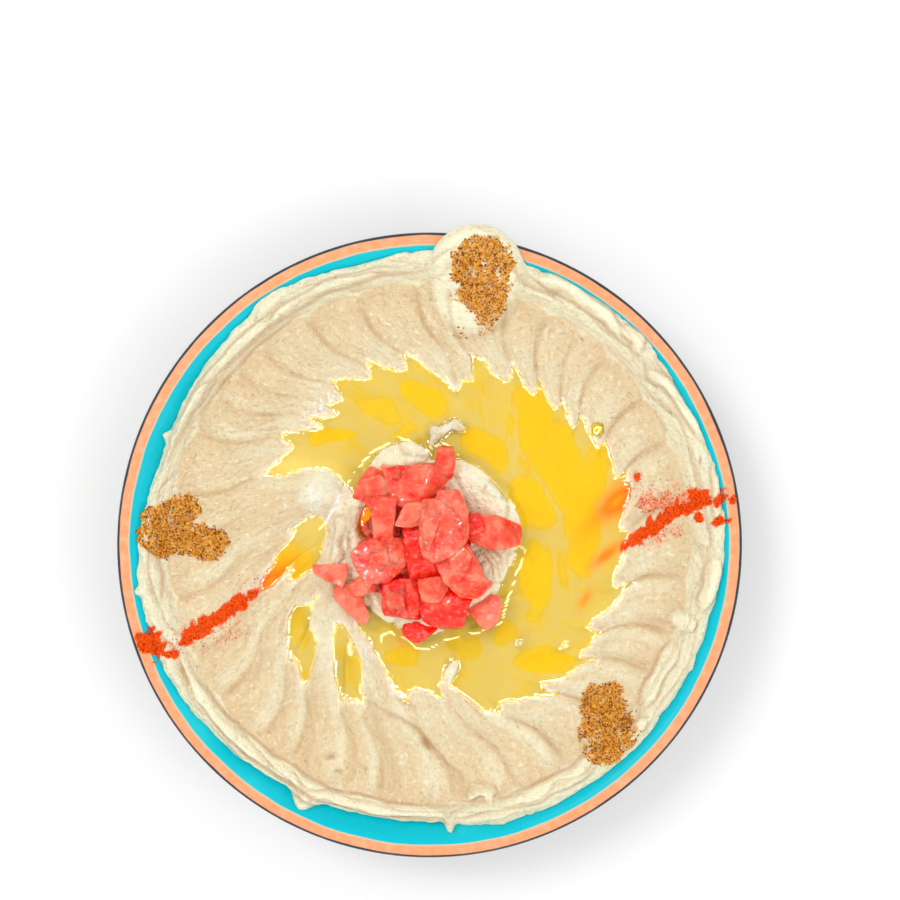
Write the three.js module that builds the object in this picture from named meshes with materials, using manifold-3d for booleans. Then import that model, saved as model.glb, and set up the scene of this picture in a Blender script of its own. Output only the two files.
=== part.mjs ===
// Hummus spread in a glazed stoneware bowl, with its olive oil and diced tomato.
// Millimetres, +Z up, origin under the centre of the bowl's foot.
import * as THREE from "three";
import { mergeVertices } from "three/addons/utils/BufferGeometryUtils.js";
import Module from "manifold-3d";

const wasm = await Module();
wasm.setup();

// ---- driving dimensions ----------------------------------------------------

const GAP = 0.3;              // air between two touching pieces
const SEAT = 0.5;             // underside of the hummus above the bowl
const LIP_SEAT = 0.4;         // the same where it lies on the lip
const FULL_TURN = 360;

// bowl
const BOWL = {
  radius: 105,                // outside of the lip
  height: 36,                 // table to lip
  mouth: 100.8,               // radius where the lip turns down into the bowl
  floor: 8,                   // inside floor above the table
  curve: 3.2,                 // power of the inside curve
  wall: 4.5,
  footOuter: 56,
  footInner: 50,
  footLift: 3.5,              // underside above the table, inside the foot ring
  footHeight: 6.4,            // table to where the foot ring meets the wall
  footBevel: 0.6,
  lipRound: 0.9,
  sides: 60,
};
const OUTSIDE_RADII = [60, 72, 83, 92, 99];       // points of the profile, from the foot up
const INSIDE_RADII = [96, 89.5, 81, 70, 56, 36];  // and from the lip down

// hummus: mean surface, from the middle to the lip
const OIL_LEVEL = 22;
const CRATER = { floor: 21.4, crest: 25.4, inner: 13, radius: 27, flank: 0.95, waver: 1.2, tilt: 0.5 };
const SHORE = 66;             // radius at which the creases below are measured
const SHORE_SLOPE = 0.15;     // fall of the hummus into the oil
const OIL_DEPTH = 2.6;
const BEACH_RISE = 3.2;       // rise of the dry hummus outside the oil
const BEACH_LENGTH = 24;
const SHELF = { start: 66, end: 86, rise: 3 };
const BANK = { start: 82, rise: 3.2 };
const RIM_START = 89.5;       // foot of the ridge that runs round the lip
const RIM_HUMP = 2.9;
const RIM_FOLD = 0.45;
const RIM_FOLDS = 1.6;        // folds across the ridge
const EDGE_THICKNESS = 0.9;
const EDGE_TUCK = 1.5;        // first step of the underside in from the edge
const LIP_TUCK = 0.6;         // the same on the lip
const LIP_REACH = 99.6;       // from this radius out the hummus lies on top of the lip

// Spoon strokes: [angle of the crease at the shore, radius that the oil reaches in it].
const CREASES = [
  [0.5, 70.5], [15, 73.5], [26, 73], [38.5, 69], [46, 68], [54.5, 69], [63.5, 66.5],
  [77.5, 66], [84.5, 59], [98, 65.5], [110, 65.5], [122.5, 66], [130, 60], [137, 60],
  [146, 63.5], [160, 62.5], [171, 36], [184, 36], [197, 36], [208, 36], [221, 36],
  [229, 36], [242, 38], [250, 42], [267, 58.5], [281, 54], [293, 66], [307, 68],
  [321, 72], [331, 67], [344, 71.5],
];
const STROKE = {
  depth: 1.35,
  crest: 0.8,                 // where across a stroke its ridge stands
  lean: 0.4,                  // degrees of lean for each millimetre inside the shore
  curl: 0.01,                 // extra lean further in
  straightInside: 31,
  hook: 8.2,                  // degrees that a stroke turns back outside the shore
  hookLength: 9,
  wetFade: 13,                // length over which a stroke fades out under the oil
  innerFade: [33, 46],        // radii where strokes fade at the mound
  outerFade: [82, 92],        // and at the ridge
};
const NARROW_STEPS = [0, 0.42, 0.82];        // grid columns across a stroke
const WIDE_STEPS = [0, 0.3, 0.6, 0.84];
const WIDE_STROKE = 15;                       // degrees

// Distance from the axis to the edge of the hummus, one value every 15 degrees from +X.
const EDGE_RADII = [
  99.3, 100.4, 99.1, 101, 100.2, 99.8, 99.8, 97.6, 99.8, 97.8, 96.4, 95.8,
  98.4, 99.1, 98.4, 96.8, 95.1, 94.4, 94.2, 97.3, 97.4, 97.6, 97.6, 97.8,
];

// Lump of hummus that leans over the lip, under the largest pinch of cumin.
const LUMP = { angle: 80.3, radius: 92, half: 16.5, outward: 17.5, inward: 20, height: 5.6 };

// Soft swellings (+) and scoops (-): [x, y, half length, half width, angle, height].
const SWELLINGS = [
  [-1.8, 50.5, 7, 3.4, -20, -1.1],
  [-34.9, 36.3, 4.5, 2.6, -10, -0.9],
  [39.3, 31.4, 12, 4.6, -62, -1.7],
  [22.5, 29.3, 6, 3, -25, -0.9],
  [27.5, 4.9, 5, 6, 0, -0.9],
  [28, -17.3, 5, 6, 0, -1.3],
  [38.2, -41.7, 7.5, 2.8, 3, -1.2],
  [13.2, -35.8, 4, 3.4, 0, -0.8],
  [-10.5, -39.3, 4.5, 3.4, 0, -1],
  [55.6, 12.9, 4.5, 8, 0, -0.5],
  [48, 2, 3, 12, 8, 0.9],
  [8, 44, 6, 3, 10, 1.2],
  [1.5, 38.6, 2.6, 2.6, 0, 4],
  [7.6, -44.2, 2.4, 4.4, -25, 3.6],
  [89.5, -25, 3.6, 2.2, -20, 1.4],
  [92.5, -11, 3.6, 2.2, 0, 1.2],
  [18.4, -88.6, 3.4, 2.6, 30, 1.4],
  [60, 71, 4, 2.4, -50, 1.2],
  [-36, 12, 5, 7, 20, 1.6],
  [14, -58, 12, 1.7, -52, 1.3],
  [-20, -45, 12, 2.8, 108, 1.9],
];

// Pockets of oil that stand on their own: [name, x, y, half length, half width, angle, depth].
const PUDDLES = [
  ["oil_puddle_left", -46, -2, 11, 5, 50, 2.4],
  ["oil_puddle_lower_left", -45.3, -33, 11, 3.4, 107, 2.4],
  ["oil_puddle_low", -29.3, -44.5, 11, 3.6, 103, 2.4],
  ["oil_puddle_tomato", -21.8, 7.4, 6.5, 3, 95, 2.2],
];
const PUDDLE_FILL = 0.5;      // share of a pocket's depth that stays empty
const POCKET_LIMIT = 4;       // squared distance from a pocket within which its own oil lies
const POOL_LIMIT = 1.6;       // and outside which the pool's lies
const OIL_DROP = { x: 58, y: 39.1, radius: 2, height: 0.9 };

// Cumin: [x, y, half length, half width, angle]; low bumpy heaps, fused to the hummus.
const CUMIN_HEAPS = [
  [17.3, 91.5, 15, 11, 80],
  [-88, 7.5, 11, 9.5, 60],
  [-78, 1.5, 10, 5.5, -8],
  [60.9, -61.5, 13, 9, 75],
];
const CUMIN_HEIGHT = 0.9;

// Paprika: low lines of powder, [x, y] from the lip inwards.
const PAPRIKA_LINES = [
  [[-93, -34.4], [-82, -33], [-74, -28.1], [-64, -21.4]],
  [[94, 14.4], [85.6, 9.8], [77.4, 3.5], [69, -2.5]],
];
const PAPRIKA = { halfWidth: 2.4, height: 0.7 };

// Diced tomato from the bottom of the heap to its top. Each piece is a slab with a cut
// outline: z of its middle, thickness, slope of its top along X and Y in degrees.
const TOMATO = { red: 0xf03a1e, pink: 0xf8705c, salmon: 0xf99070 };
const TOMATO_ROUNDING = 1.2;
const TOMATO_CROWN = 0.3;
const TOMATOES = [
  { z: 27.2, thickness: 7.5, slope: [3, 8], colour: "red",
    outline: [[-15.5, -14], [-5, -13], [-3.5, -17.5], [-4, -25.5], [-11.5, -24], [-15, -24]] },
  { z: 27.8, thickness: 8, slope: [-3, 9], colour: "red",
    outline: [[-3.5, -18.5], [-1.5, -16], [7.5, -15], [14.5, -18], [12, -21.5], [11, -28], [3, -28],
      [-1.5, -26]] },
  { z: 28, thickness: 6.5, slope: [6, -5], colour: "pink",
    outline: [[-20, 25.5], [-15, 22.5], [-12, 17], [-12.5, 13], [-18.5, 11], [-21.5, 15], [-25.5, 16],
      [-22.5, 22]] },
  { z: 27.2, thickness: 5, slope: [8, 0], colour: "salmon",
    outline: [[-27, -14], [-21.5, -11.5], [-19, -12.5], [-20, -15.5], [-25, -17.5]] },
  { z: 25.4, thickness: 4, slope: [-14, 12], colour: "salmon",
    outline: [[14, -23.5], [19.5, -19], [24, -19.5], [23, -26], [19.5, -29.5], [16.5, -26]] },
  { z: 24.8, thickness: 4, slope: [0, 22], colour: "red",
    outline: [[-8.5, -31], [-8, -28.5], [-3.5, -28], [2.5, -29], [-1, -31.5], [-4.5, -34]] },
  { z: 26, thickness: 3.6, slope: [4, 5], colour: "salmon",
    outline: [[-32.5, -15.5], [-28.5, -15], [-25.5, -17.5], [-22, -24], [-22.5, -27], [-24.5, -27],
      [-28.5, -22.5], [-32, -19.5]] },
  { z: 26.2, thickness: 3.2, slope: [4, -3], colour: "salmon",
    outline: [[-40, -7.5], [-35, -8.5], [-29.5, -7.5], [-29.5, -11], [-31, -14.5], [-34.5, -12],
      [-39, -10.5]] },
  { z: 27.8, thickness: 5, slope: [-4, -10], colour: "pink",
    outline: [[3, 32], [7.5, 32], [7.5, 26.5], [7, 23], [3, 24]] },
  { z: 28.8, thickness: 7, slope: [2, -8], colour: "pink",
    outline: [[-15.5, 26.5], [-8, 25.5], [3.5, 27], [7, 23], [1.5, 18], [-5, 13.5], [-11, 14],
      [-14.5, 22]] },
  { z: 28.4, thickness: 6, slope: [-7, 2], colour: "pink",
    outline: [[13, 6], [15, 10], [22.5, 8.5], [30, 6], [30, 0], [22, -1], [15, 1]] },
  { z: 28.4, thickness: 8, slope: [4, 0], colour: "red",
    outline: [[-9, 4], [-5, 6], [-3, 4.5], [1.5, -6.5], [6, -12], [1.5, -15.5], [-3.5, -16], [-6, -12],
      [-7.5, -2.5]] },
  { z: 31, thickness: 7, slope: [6, 6], colour: "pink",
    outline: [[-25, -2], [-19, 1], [-11.5, 1.5], [-7.5, -1], [-7.5, -5.5], [-14.5, -11.5],
      [-20.5, -12.5], [-24, -8], [-25.5, -4.5]] },
  { z: 31.6, thickness: 6, slope: [-8, 5], colour: "pink",
    outline: [[2.5, -5.5], [7.5, -3], [11.5, 0], [14, -3], [17.5, -11], [20.5, -12.5], [15.5, -17.5],
      [10.5, -16.5], [6, -12]] },
  { z: 31, thickness: 5, slope: [7, 0], colour: "pink",
    outline: [[-19.5, 15.5], [-12, 15], [-12.5, 10], [-13.5, 7], [-12.5, 1.5], [-18.5, 0.5], [-18.5, 8]] },
  { z: 32.2, thickness: 5, slope: [4, -4], colour: "salmon",
    outline: [[-7.5, 13], [-2, 13.5], [-2, 7.5], [-7, 7], [-11, 7]] },
  { z: 34.4, thickness: 8, slope: [-3, 3], colour: "pink",
    outline: [[-2, 14], [3, 14.5], [9.5, 9], [12.5, 6.5], [12, 2], [7, -3], [1.5, -5.5], [-2, -2],
      [-2.5, 6.5]] },
  { z: 33.6, thickness: 6.5, slope: [-6, -4], colour: "pink",
    outline: [[3.5, 17.5], [9.5, 17.5], [12.5, 9.5], [12.5, 6], [8.5, 6.5], [4, 8.5], [2.5, 13.5]] },
];

// ---- small helpers ---------------------------------------------------------

const rad = THREE.MathUtils.degToRad;
const clamp = THREE.MathUtils.clamp;
const smooth = (from, to, x) => THREE.MathUtils.smoothstep(x, from, to);

// Squared distance from the middle of a turned ellipse, 1 on its outline.
function ellipse(x, y, [cx, cy, halfLength, halfWidth, angle]) {
  const c = Math.cos(rad(angle));
  const s = Math.sin(rad(angle));
  const along = ((x - cx) * c + (y - cy) * s) / halfLength;
  const across = ((y - cy) * c - (x - cx) * s) / halfWidth;
  return along * along + across * across;
}

function distanceToLine(x, y, points) {
  let best = Infinity;
  for (let i = 1; i < points.length; i += 1) {
    const [ax, ay] = points[i - 1];
    const [bx, by] = points[i];
    const length2 = (bx - ax) ** 2 + (by - ay) ** 2;
    const t = clamp(((x - ax) * (bx - ax) + (y - ay) * (by - ay)) / length2, 0, 1);
    best = Math.min(best, Math.hypot(x - ax - t * (bx - ax), y - ay - t * (by - ay)));
  }
  return best;
}

// ---- bowl ------------------------------------------------------------------

function bowlInside(r) {
  return BOWL.floor + (BOWL.height - BOWL.floor) * (r / BOWL.mouth) ** BOWL.curve;
}

// Point on the outer wall, one wall thickness square off the inside curve.
function bowlOutside(r) {
  const slope = (BOWL.height - BOWL.floor) * BOWL.curve / BOWL.mouth
    * (r / BOWL.mouth) ** (BOWL.curve - 1);
  const tilt = Math.atan(slope);
  return new THREE.Vector2(r + BOWL.wall * Math.sin(tilt), bowlInside(r) - BOWL.wall * Math.cos(tilt));
}

function bowlGeometry() {
  const profile = [
    new THREE.Vector2(0, BOWL.footLift),
    new THREE.Vector2(BOWL.footInner - BOWL.footBevel, BOWL.footLift),
    new THREE.Vector2(BOWL.footInner + BOWL.footBevel, 0),
    new THREE.Vector2(BOWL.footOuter - BOWL.footBevel, 0),
    new THREE.Vector2(BOWL.footOuter, BOWL.footBevel),
    new THREE.Vector2(BOWL.footOuter + BOWL.footBevel, BOWL.footHeight),
  ];
  for (const r of OUTSIDE_RADII) {
    profile.push(bowlOutside(r));
  }
  profile.push(
    new THREE.Vector2(BOWL.radius, BOWL.height - BOWL.lipRound),
    new THREE.Vector2(BOWL.radius - BOWL.lipRound, BOWL.height),
    new THREE.Vector2(BOWL.mouth + BOWL.lipRound / 2, BOWL.height),
    new THREE.Vector2(BOWL.mouth - BOWL.lipRound / 3, BOWL.height - BOWL.lipRound / 2),
  );
  for (const r of INSIDE_RADII) {
    profile.push(new THREE.Vector2(r, bowlInside(r)));
  }
  profile.push(new THREE.Vector2(0, BOWL.floor));
  // The lathe turns about Y, so the finished shape is stood up along Z.
  return new THREE.LatheGeometry(profile, BOWL.sides).rotateX(Math.PI / 2);
}

// ---- hummus surface --------------------------------------------------------

// Degrees by which a stroke's line lags behind its angle at the shore.
function lean(r) {
  const inside = Math.max(0, SHORE - Math.max(r, STROKE.straightInside));
  const outside = Math.max(0, r - SHORE);
  return STROKE.lean * inside + STROKE.curl * inside ** 2
    - STROKE.hook * Math.tanh(outside / STROKE.hookLength);
}

// The stroke that holds a point: how far across it lies and how far the oil reaches there.
function strokeAt(shoreAngle) {
  const angle = ((shoreAngle % FULL_TURN) + FULL_TURN) % FULL_TURN;
  const next = CREASES.findIndex(([crease]) => crease > angle);
  const [upper, upperReach] = CREASES[next < 0 ? 0 : next];
  const [lower, lowerReach] = CREASES.at((next < 0 ? 0 : next) - 1);
  const width = (upper - lower + FULL_TURN) % FULL_TURN;
  const across = clamp(((upper - angle + FULL_TURN) % FULL_TURN) / width, 0, 1);
  return { across, reach: THREE.MathUtils.lerp(upperReach, lowerReach, across) };
}

// Height of a stroke across its width: a long rise to its ridge, then a quick fall.
function strokeRidge(across) {
  const rising = across < STROKE.crest;
  const phase = rising ? across / STROKE.crest : (1 - across) / (1 - STROKE.crest);
  return (1 - Math.cos(Math.PI * phase)) / 2;
}

function edgeRadius(angle) {
  const place = (((angle % FULL_TURN) + FULL_TURN) % FULL_TURN) / (FULL_TURN / EDGE_RADII.length);
  const index = Math.floor(place);
  const edge = THREE.MathUtils.lerp(
    EDGE_RADII[index], EDGE_RADII[(index + 1) % EDGE_RADII.length], place - index);
  const off = rad(angle - LUMP.angle);
  const across = LUMP.radius * Math.sin(off) / LUMP.half;
  if (Math.abs(across) >= 1 || Math.cos(off) < 0) {
    return edge;
  }
  return Math.max(edge, LUMP.radius * Math.cos(off) + LUMP.outward * Math.sqrt(1 - across * across));
}

// Underside of the hummus: it follows the bowl, and lies on the lip where it reaches it.
function underside(r) {
  return r < LIP_REACH ? bowlInside(r) + SEAT : BOWL.height + LIP_SEAT;
}

// Height without strokes: it falls away inside the radius that the oil reaches and rises
// outside it, first as a beach, then as the bank under the ridge.
function meanHeight(r, reach) {
  const past = r - reach;
  const limit = past > 0 ? BEACH_RISE : OIL_DEPTH;
  const length = Math.min(past, BEACH_LENGTH);
  return OIL_LEVEL + limit * Math.tanh(SHORE_SLOPE * length / limit)
    + SHELF.rise * smooth(SHELF.start, SHELF.end, r) + BANK.rise * smooth(BANK.start, RIM_START, r);
}

function crater(angle, r) {
  const crest = CRATER.radius + CRATER.waver * Math.sin(rad(3 * angle + 40))
    + CRATER.waver / 2 * Math.sin(rad(7 * angle));
  const top = CRATER.crest + CRATER.tilt * Math.sin(rad(2 * angle - 30));
  if (r > crest) {
    return top - CRATER.flank * (r - crest);
  }
  return CRATER.floor + (top - CRATER.floor) * smooth(CRATER.inner, crest, r);
}

// Height of the hummus without its toppings' relief, at an angle in degrees and a radius.
function hummusHeight(angle, r) {
  const x = r * Math.cos(rad(angle));
  const y = r * Math.sin(rad(angle));
  const { across, reach } = strokeAt(angle + lean(r));
  const fade = smooth(...STROKE.innerFade, r) * (1 - smooth(...STROKE.outerFade, r))
    * smooth(reach - STROKE.wetFade, reach + 2, r);
  let z = meanHeight(r, reach) + STROKE.depth * strokeRidge(across) * fade;
  z = Math.max(z, crater(angle, r));
  for (const swelling of SWELLINGS) {
    z += swelling[5] * Math.exp(-ellipse(x, y, swelling));
  }
  for (const [, ...pocket] of PUDDLES) {
    z -= pocket[5] * Math.exp(-(ellipse(x, y, pocket) ** 2));
  }
  const edge = edgeRadius(angle);
  const rim = clamp((r - RIM_START) / (edge - RIM_START), 0, 1);
  const fold = RIM_FOLD * Math.cos(rad(FULL_TURN * (RIM_FOLDS * rim + 0.2 * Math.sin(rad(5 * angle)))));
  z = THREE.MathUtils.lerp(z, underside(edge) + EDGE_THICKNESS, rim)
    + (RIM_HUMP + fold) * Math.sin(Math.PI * rim) ** 0.8;
  const off = rad(angle - LUMP.angle);
  const outward = r * Math.cos(off) - LUMP.radius;
  const along = outward / (outward > 0 ? LUMP.outward : LUMP.inward);
  const swell = 1 - along ** 2 - (r * Math.sin(off) / LUMP.half) ** 2;
  return z + (swell > 0 ? LUMP.height * swell ** 0.5 : 0);
}

// Powder lies in small heaps about 3 mm apart: from 0.2 between them to 1 on top.
function powderBumps(x, y) {
  return 0.6 + 0.4 * Math.sin(2.3 * x + 0.7 * y) * Math.sin(1.9 * y - 0.4 * x);
}

// The same with the bumps of cumin and paprika on it.
function surfaceHeight(angle, r) {
  const x = r * Math.cos(rad(angle));
  const y = r * Math.sin(rad(angle));
  const bumps = powderBumps(x, y);
  let z = hummusHeight(angle, r);
  for (const heap of CUMIN_HEAPS) {
    z += CUMIN_HEIGHT * bumps * (1 - smooth(0.7, 1.15, ellipse(x, y, heap)));
  }
  for (const line of PAPRIKA_LINES) {
    const away = distanceToLine(x, y, line) / PAPRIKA.halfWidth;
    z += PAPRIKA.height * bumps * Math.exp(-away * away);
  }
  return z;
}

// ---- hummus solid ----------------------------------------------------------

const ROW_RADII = [
  12, 19, 24, 27.5, 31, 34.5, 38.5, 42.5, 46.5, 50.5, 54.5, 58.5, 62.5, 66.5, 70.5, 74.5,
  79, 83.5, 87,
];
const RIM_SHARES = [0, 0.3, 0.55, 0.8, 1];
const UNDER_RADII = [91, 76, 45];

// Columns of the grid run along the strokes, so that each crease is an edge of the mesh.
function shoreAngles() {
  const angles = [];
  CREASES.forEach(([upper], i) => {
    const [lower] = CREASES.at(i - 1);
    const width = (upper - lower + FULL_TURN) % FULL_TURN;
    for (const step of width < WIDE_STROKE ? NARROW_STEPS : WIDE_STEPS) {
      angles.push(upper - width * step);
    }
  });
  return angles.map((angle) => (angle + FULL_TURN) % FULL_TURN).sort((a, b) => a - b);
}

// Top surface as rings of points round one middle point, lifted by an allowance.
function surfaceRings(lift) {
  const columns = shoreAngles();
  const ring = (radiusAt) => columns.map((shoreAngle) => {
    // Two steps settle the angle that belongs to this column at this radius.
    let angle = shoreAngle;
    let r = radiusAt(angle);
    for (let i = 0; i < 2; i += 1) {
      angle = shoreAngle - lean(r);
      r = radiusAt(angle);
    }
    const z = surfaceHeight(angle, r) + lift;
    return new THREE.Vector3(r * Math.cos(rad(angle)), r * Math.sin(rad(angle)), z);
  });
  const rings = ROW_RADII.map((r) => ring(() => r));
  for (const share of RIM_SHARES) {
    rings.push(ring((angle) => THREE.MathUtils.lerp(RIM_START, edgeRadius(angle), share)));
  }
  return rings;
}

// Closed mesh from rings of equal length, with a middle point before the first and after the last.
function ringsToGeometry(rings, first, last) {
  const count = rings[0].length;
  const points = [first, ...rings.flat(), last];
  const faces = [];
  for (let j = 0; j < count; j += 1) {
    const k = (j + 1) % count;
    faces.push(0, 1 + j, 1 + k);
    for (let i = 0; i + 1 < rings.length; i += 1) {
      const here = 1 + i * count;
      const there = here + count;
      faces.push(here + j, there + j, there + k, here + j, there + k, here + k);
    }
    const lastRing = 1 + (rings.length - 1) * count;
    faces.push(lastRing + j, points.length - 1, lastRing + k);
  }
  const geometry = new THREE.BufferGeometry().setFromPoints(points);
  geometry.setIndex(faces);
  return geometry;
}

// Hummus, or with a lift the space it needs when its neighbours are cut clear of it.
function hummusGeometry(lift = 0) {
  const rings = surfaceRings(lift);
  const outer = rings.at(-1);
  const under = (radiusFrom) => outer.map((point) => {
    const edge = Math.hypot(point.x, point.y);
    const r = radiusFrom(edge);
    return new THREE.Vector3(point.x * r / edge, point.y * r / edge, underside(r));
  });
  rings.push(under((edge) => edge));
  rings.push(under((edge) => (edge > LIP_REACH
    ? clamp(edge - LIP_TUCK, LIP_REACH, LIP_REACH + LIP_TUCK) : edge - EDGE_TUCK)));
  for (const r of UNDER_RADII) {
    rings.push(under(() => r));
  }
  const middle = surfaceHeight(0, 0) + lift;
  return ringsToGeometry(rings, new THREE.Vector3(0, 0, middle), new THREE.Vector3(0, 0, underside(0)));
}

// ---- booleans --------------------------------------------------------------

function toSolid(geometry) {
  const bare = geometry.clone();
  bare.deleteAttribute("normal");
  bare.deleteAttribute("uv");
  const merged = mergeVertices(bare, 1e-4);
  return new wasm.Manifold(new wasm.Mesh({
    numProp: 3,
    vertProperties: new Float32Array(merged.attributes.position.array),
    triVerts: new Uint32Array(merged.index.array),
  }));
}

// Geometry of a solid's largest connected body; shavings cut off it are dropped.
function toGeometry(solid) {
  const { vertProperties, triVerts } = solid.getMesh();
  const parent = Array.from({ length: vertProperties.length / 3 }, (_, i) => i);
  const find = (i) => {
    let root = i;
    while (parent[root] !== root) {
      root = parent[root];
    }
    return root;
  };
  for (let t = 0; t < triVerts.length; t += 3) {
    parent[find(triVerts[t])] = find(triVerts[t + 1]);
    parent[find(triVerts[t + 1])] = find(triVerts[t + 2]);
  }
  const bodies = new Map();
  for (let t = 0; t < triVerts.length; t += 3) {
    const root = find(triVerts[t]);
    bodies.set(root, [...(bodies.get(root) ?? []), triVerts[t], triVerts[t + 1], triVerts[t + 2]]);
  }
  const largest = [...bodies.values()].sort((a, b) => b.length - a.length)[0];
  const geometry = new THREE.BufferGeometry();
  geometry.setAttribute("position", new THREE.BufferAttribute(new Float32Array(vertProperties), 3));
  geometry.setIndex(largest);
  return mergeVertices(geometry, 1e-4);
}

// ---- oil -------------------------------------------------------------------

// A flat-topped sheet of oil: the part of the lifted surface that lies under a level, closed
// by the same triangles at the level. keep says which triangles may hold oil.
function oilGeometry(rings, level, keep) {
  const count = rings[0].length;
  const points = rings.flat();
  const vertices = [];
  const lidOf = [];           // vertex at the level above each vertex of the bed
  const known = new Map();
  const add = (point, z) => vertices.push(new THREE.Vector3(point.x, point.y, z)) - 1;
  const bedVertex = (i) => {
    if (!known.has(i)) {
      const bed = add(points[i], points[i].z);
      lidOf[bed] = add(points[i], level);
      known.set(i, bed);
    }
    return known.get(i);
  };
  const shoreVertex = (a, b) => {
    const [from, to] = a < b ? [a, b] : [b, a];
    const key = `${from}/${to}`;
    if (!known.has(key)) {
      const t = clamp((level - points[from].z) / (points[to].z - points[from].z), 0.06, 0.94);
      const shore = add(points[from].clone().lerp(points[to], t), level);
      lidOf[shore] = shore;
      known.set(key, shore);
    }
    return known.get(key);
  };

  const faces = [];
  const bedEdges = new Set();
  const addTriangle = (corners) => {
    const wet = corners.map((i) => points[i].z < level);
    if (!wet.some(Boolean) || !keep(corners.map((i) => points[i]))) {
      return;
    }
    const outline = [];
    corners.forEach((corner, n) => {
      const next = (n + 1) % 3;
      if (wet[n]) {
        outline.push(bedVertex(corner));
      }
      if (wet[n] !== wet[next]) {
        outline.push(shoreVertex(corner, corners[next]));
      }
    });
    for (let n = 1; n + 1 < outline.length; n += 1) {
      const [a, b, c] = [outline[0], outline[n], outline[n + 1]];
      faces.push(a, c, b, lidOf[a], lidOf[b], lidOf[c]);
      bedEdges.add(`${a}/${b}`).add(`${b}/${c}`).add(`${c}/${a}`);
    }
  };
  for (let i = 0; i + 1 < rings.length; i += 1) {
    for (let j = 0; j < count; j += 1) {
      const k = (j + 1) % count;
      const here = i * count;
      const there = here + count;
      addTriangle([here + j, there + j, there + k]);
      addTriangle([here + j, there + k, here + k]);
    }
  }
  // An upright wall where the kept area ends in deep oil.
  for (const edge of bedEdges) {
    const [a, b] = edge.split("/").map(Number);
    if (bedEdges.has(`${b}/${a}`)) {
      continue;
    }
    if (lidOf[b] !== b) {
      faces.push(a, b, lidOf[b]);
    }
    if (lidOf[a] !== a) {
      faces.push(a, lidOf[b], lidOf[a]);
    }
  }
  const geometry = new THREE.BufferGeometry().setFromPoints(vertices);
  geometry.setIndex(faces);
  return geometry;
}

// ---- tomato ----------------------------------------------------------------

// Slab with eased edges, grown by an allowance on every side: four rings from top to bottom.
function tomatoGeometry({ z, thickness, slope, outline }, grow = 0) {
  const corners = outline.map(([x, y]) => new THREE.Vector2(x, y));
  if (THREE.ShapeUtils.isClockWise(corners)) {
    corners.reverse();
  }
  const middle = corners.reduce((sum, corner) => sum.add(corner), new THREE.Vector2())
    .divideScalar(corners.length);
  const half = thickness / 2 + grow;
  const ring = (inset, height) => corners.map((corner) => {
    const out = corner.clone().sub(middle);
    out.setLength(out.length() + grow - inset);
    return new THREE.Vector3(out.x, out.y, height);
  });
  const slab = ringsToGeometry(
    [ring(TOMATO_ROUNDING, half), ring(0, half - TOMATO_ROUNDING),
      ring(0, TOMATO_ROUNDING - half), ring(TOMATO_ROUNDING, -half)],
    new THREE.Vector3(0, 0, half + TOMATO_CROWN),
    new THREE.Vector3(0, 0, -half),
  );
  return slab.rotateY(rad(slope[0])).rotateX(rad(-slope[1])).translate(middle.x, middle.y, z);
}

// ---- assembly --------------------------------------------------------------

const materials = {
  glaze: new THREE.MeshStandardMaterial({ color: 0x23c8dc, roughness: 0.25, metalness: 0 }),
  hummus: new THREE.MeshStandardMaterial({ color: 0xead2b0, roughness: 0.6, metalness: 0 }),
  oil: new THREE.MeshStandardMaterial({
    color: 0xf5c800, roughness: 0.08, metalness: 0, transparent: true, opacity: 0.75 }),
};
for (const [name, color] of Object.entries(TOMATO)) {
  materials[name] = new THREE.MeshStandardMaterial({ color, roughness: 0.3, metalness: 0 });
}

const part = new THREE.Group();

function place(name, geometry, material) {
  const mesh = new THREE.Mesh(geometry, material);
  mesh.name = name;
  part.add(mesh);
}

place("bowl", bowlGeometry(), materials.glaze);
place("hummus", hummusGeometry(), materials.hummus);

// Tomato, from the top of the heap down: each block is cut clear of the hummus that it is
// pressed into and of the blocks that lie on it.
const hummusSpace = toSolid(hummusGeometry(GAP));
const tomatoSpaces = [];
for (let number = TOMATOES.length; number > 0; number -= 1) {
  const block = TOMATOES[number - 1];
  let solid = toSolid(tomatoGeometry(block)).subtract(hummusSpace);
  for (const space of tomatoSpaces) {
    solid = solid.subtract(space);
  }
  tomatoSpaces.push(toSolid(tomatoGeometry(block, GAP)));
  place(`tomato_${String(number).padStart(2, "0")}`, toGeometry(solid), materials[block.colour]);
}

// Oil: the pool round the middle, then the pockets, each cut clear of the tomato in it.
function placeOil(name, level, keep) {
  let solid = toSolid(oilGeometry(surfaceRings(GAP), level, keep));
  for (const space of tomatoSpaces) {
    solid = solid.subtract(space);
  }
  place(name, toGeometry(solid), materials.oil);
}

const poolPlaces = (corners) => corners.every((p) => PUDDLES.every(
  ([, ...pocket]) => ellipse(p.x, p.y, pocket) > POOL_LIMIT));
placeOil("oil_pool", OIL_LEVEL, poolPlaces);
for (const [name, ...pocket] of PUDDLES) {
  const [x, y, , , , depth] = pocket;
  const brim = hummusHeight(THREE.MathUtils.radToDeg(Math.atan2(y, x)), Math.hypot(x, y)) + depth;
  const inPocket = (corners) => corners.every((p) => ellipse(p.x, p.y, pocket) < POCKET_LIMIT);
  placeOil(name, brim - PUDDLE_FILL * depth, inPocket);
}

const dropAngle = THREE.MathUtils.radToDeg(Math.atan2(OIL_DROP.y, OIL_DROP.x));
const dropSeat = surfaceHeight(dropAngle, Math.hypot(OIL_DROP.x, OIL_DROP.y)) + GAP;
const drop = new THREE.SphereGeometry(OIL_DROP.radius, 8, 6)
  .scale(1, 1, OIL_DROP.height / OIL_DROP.radius)
  .translate(OIL_DROP.x, OIL_DROP.y, dropSeat);
place("oil_drop", toGeometry(toSolid(drop).subtract(hummusSpace)), materials.oil);

export default part;
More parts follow.
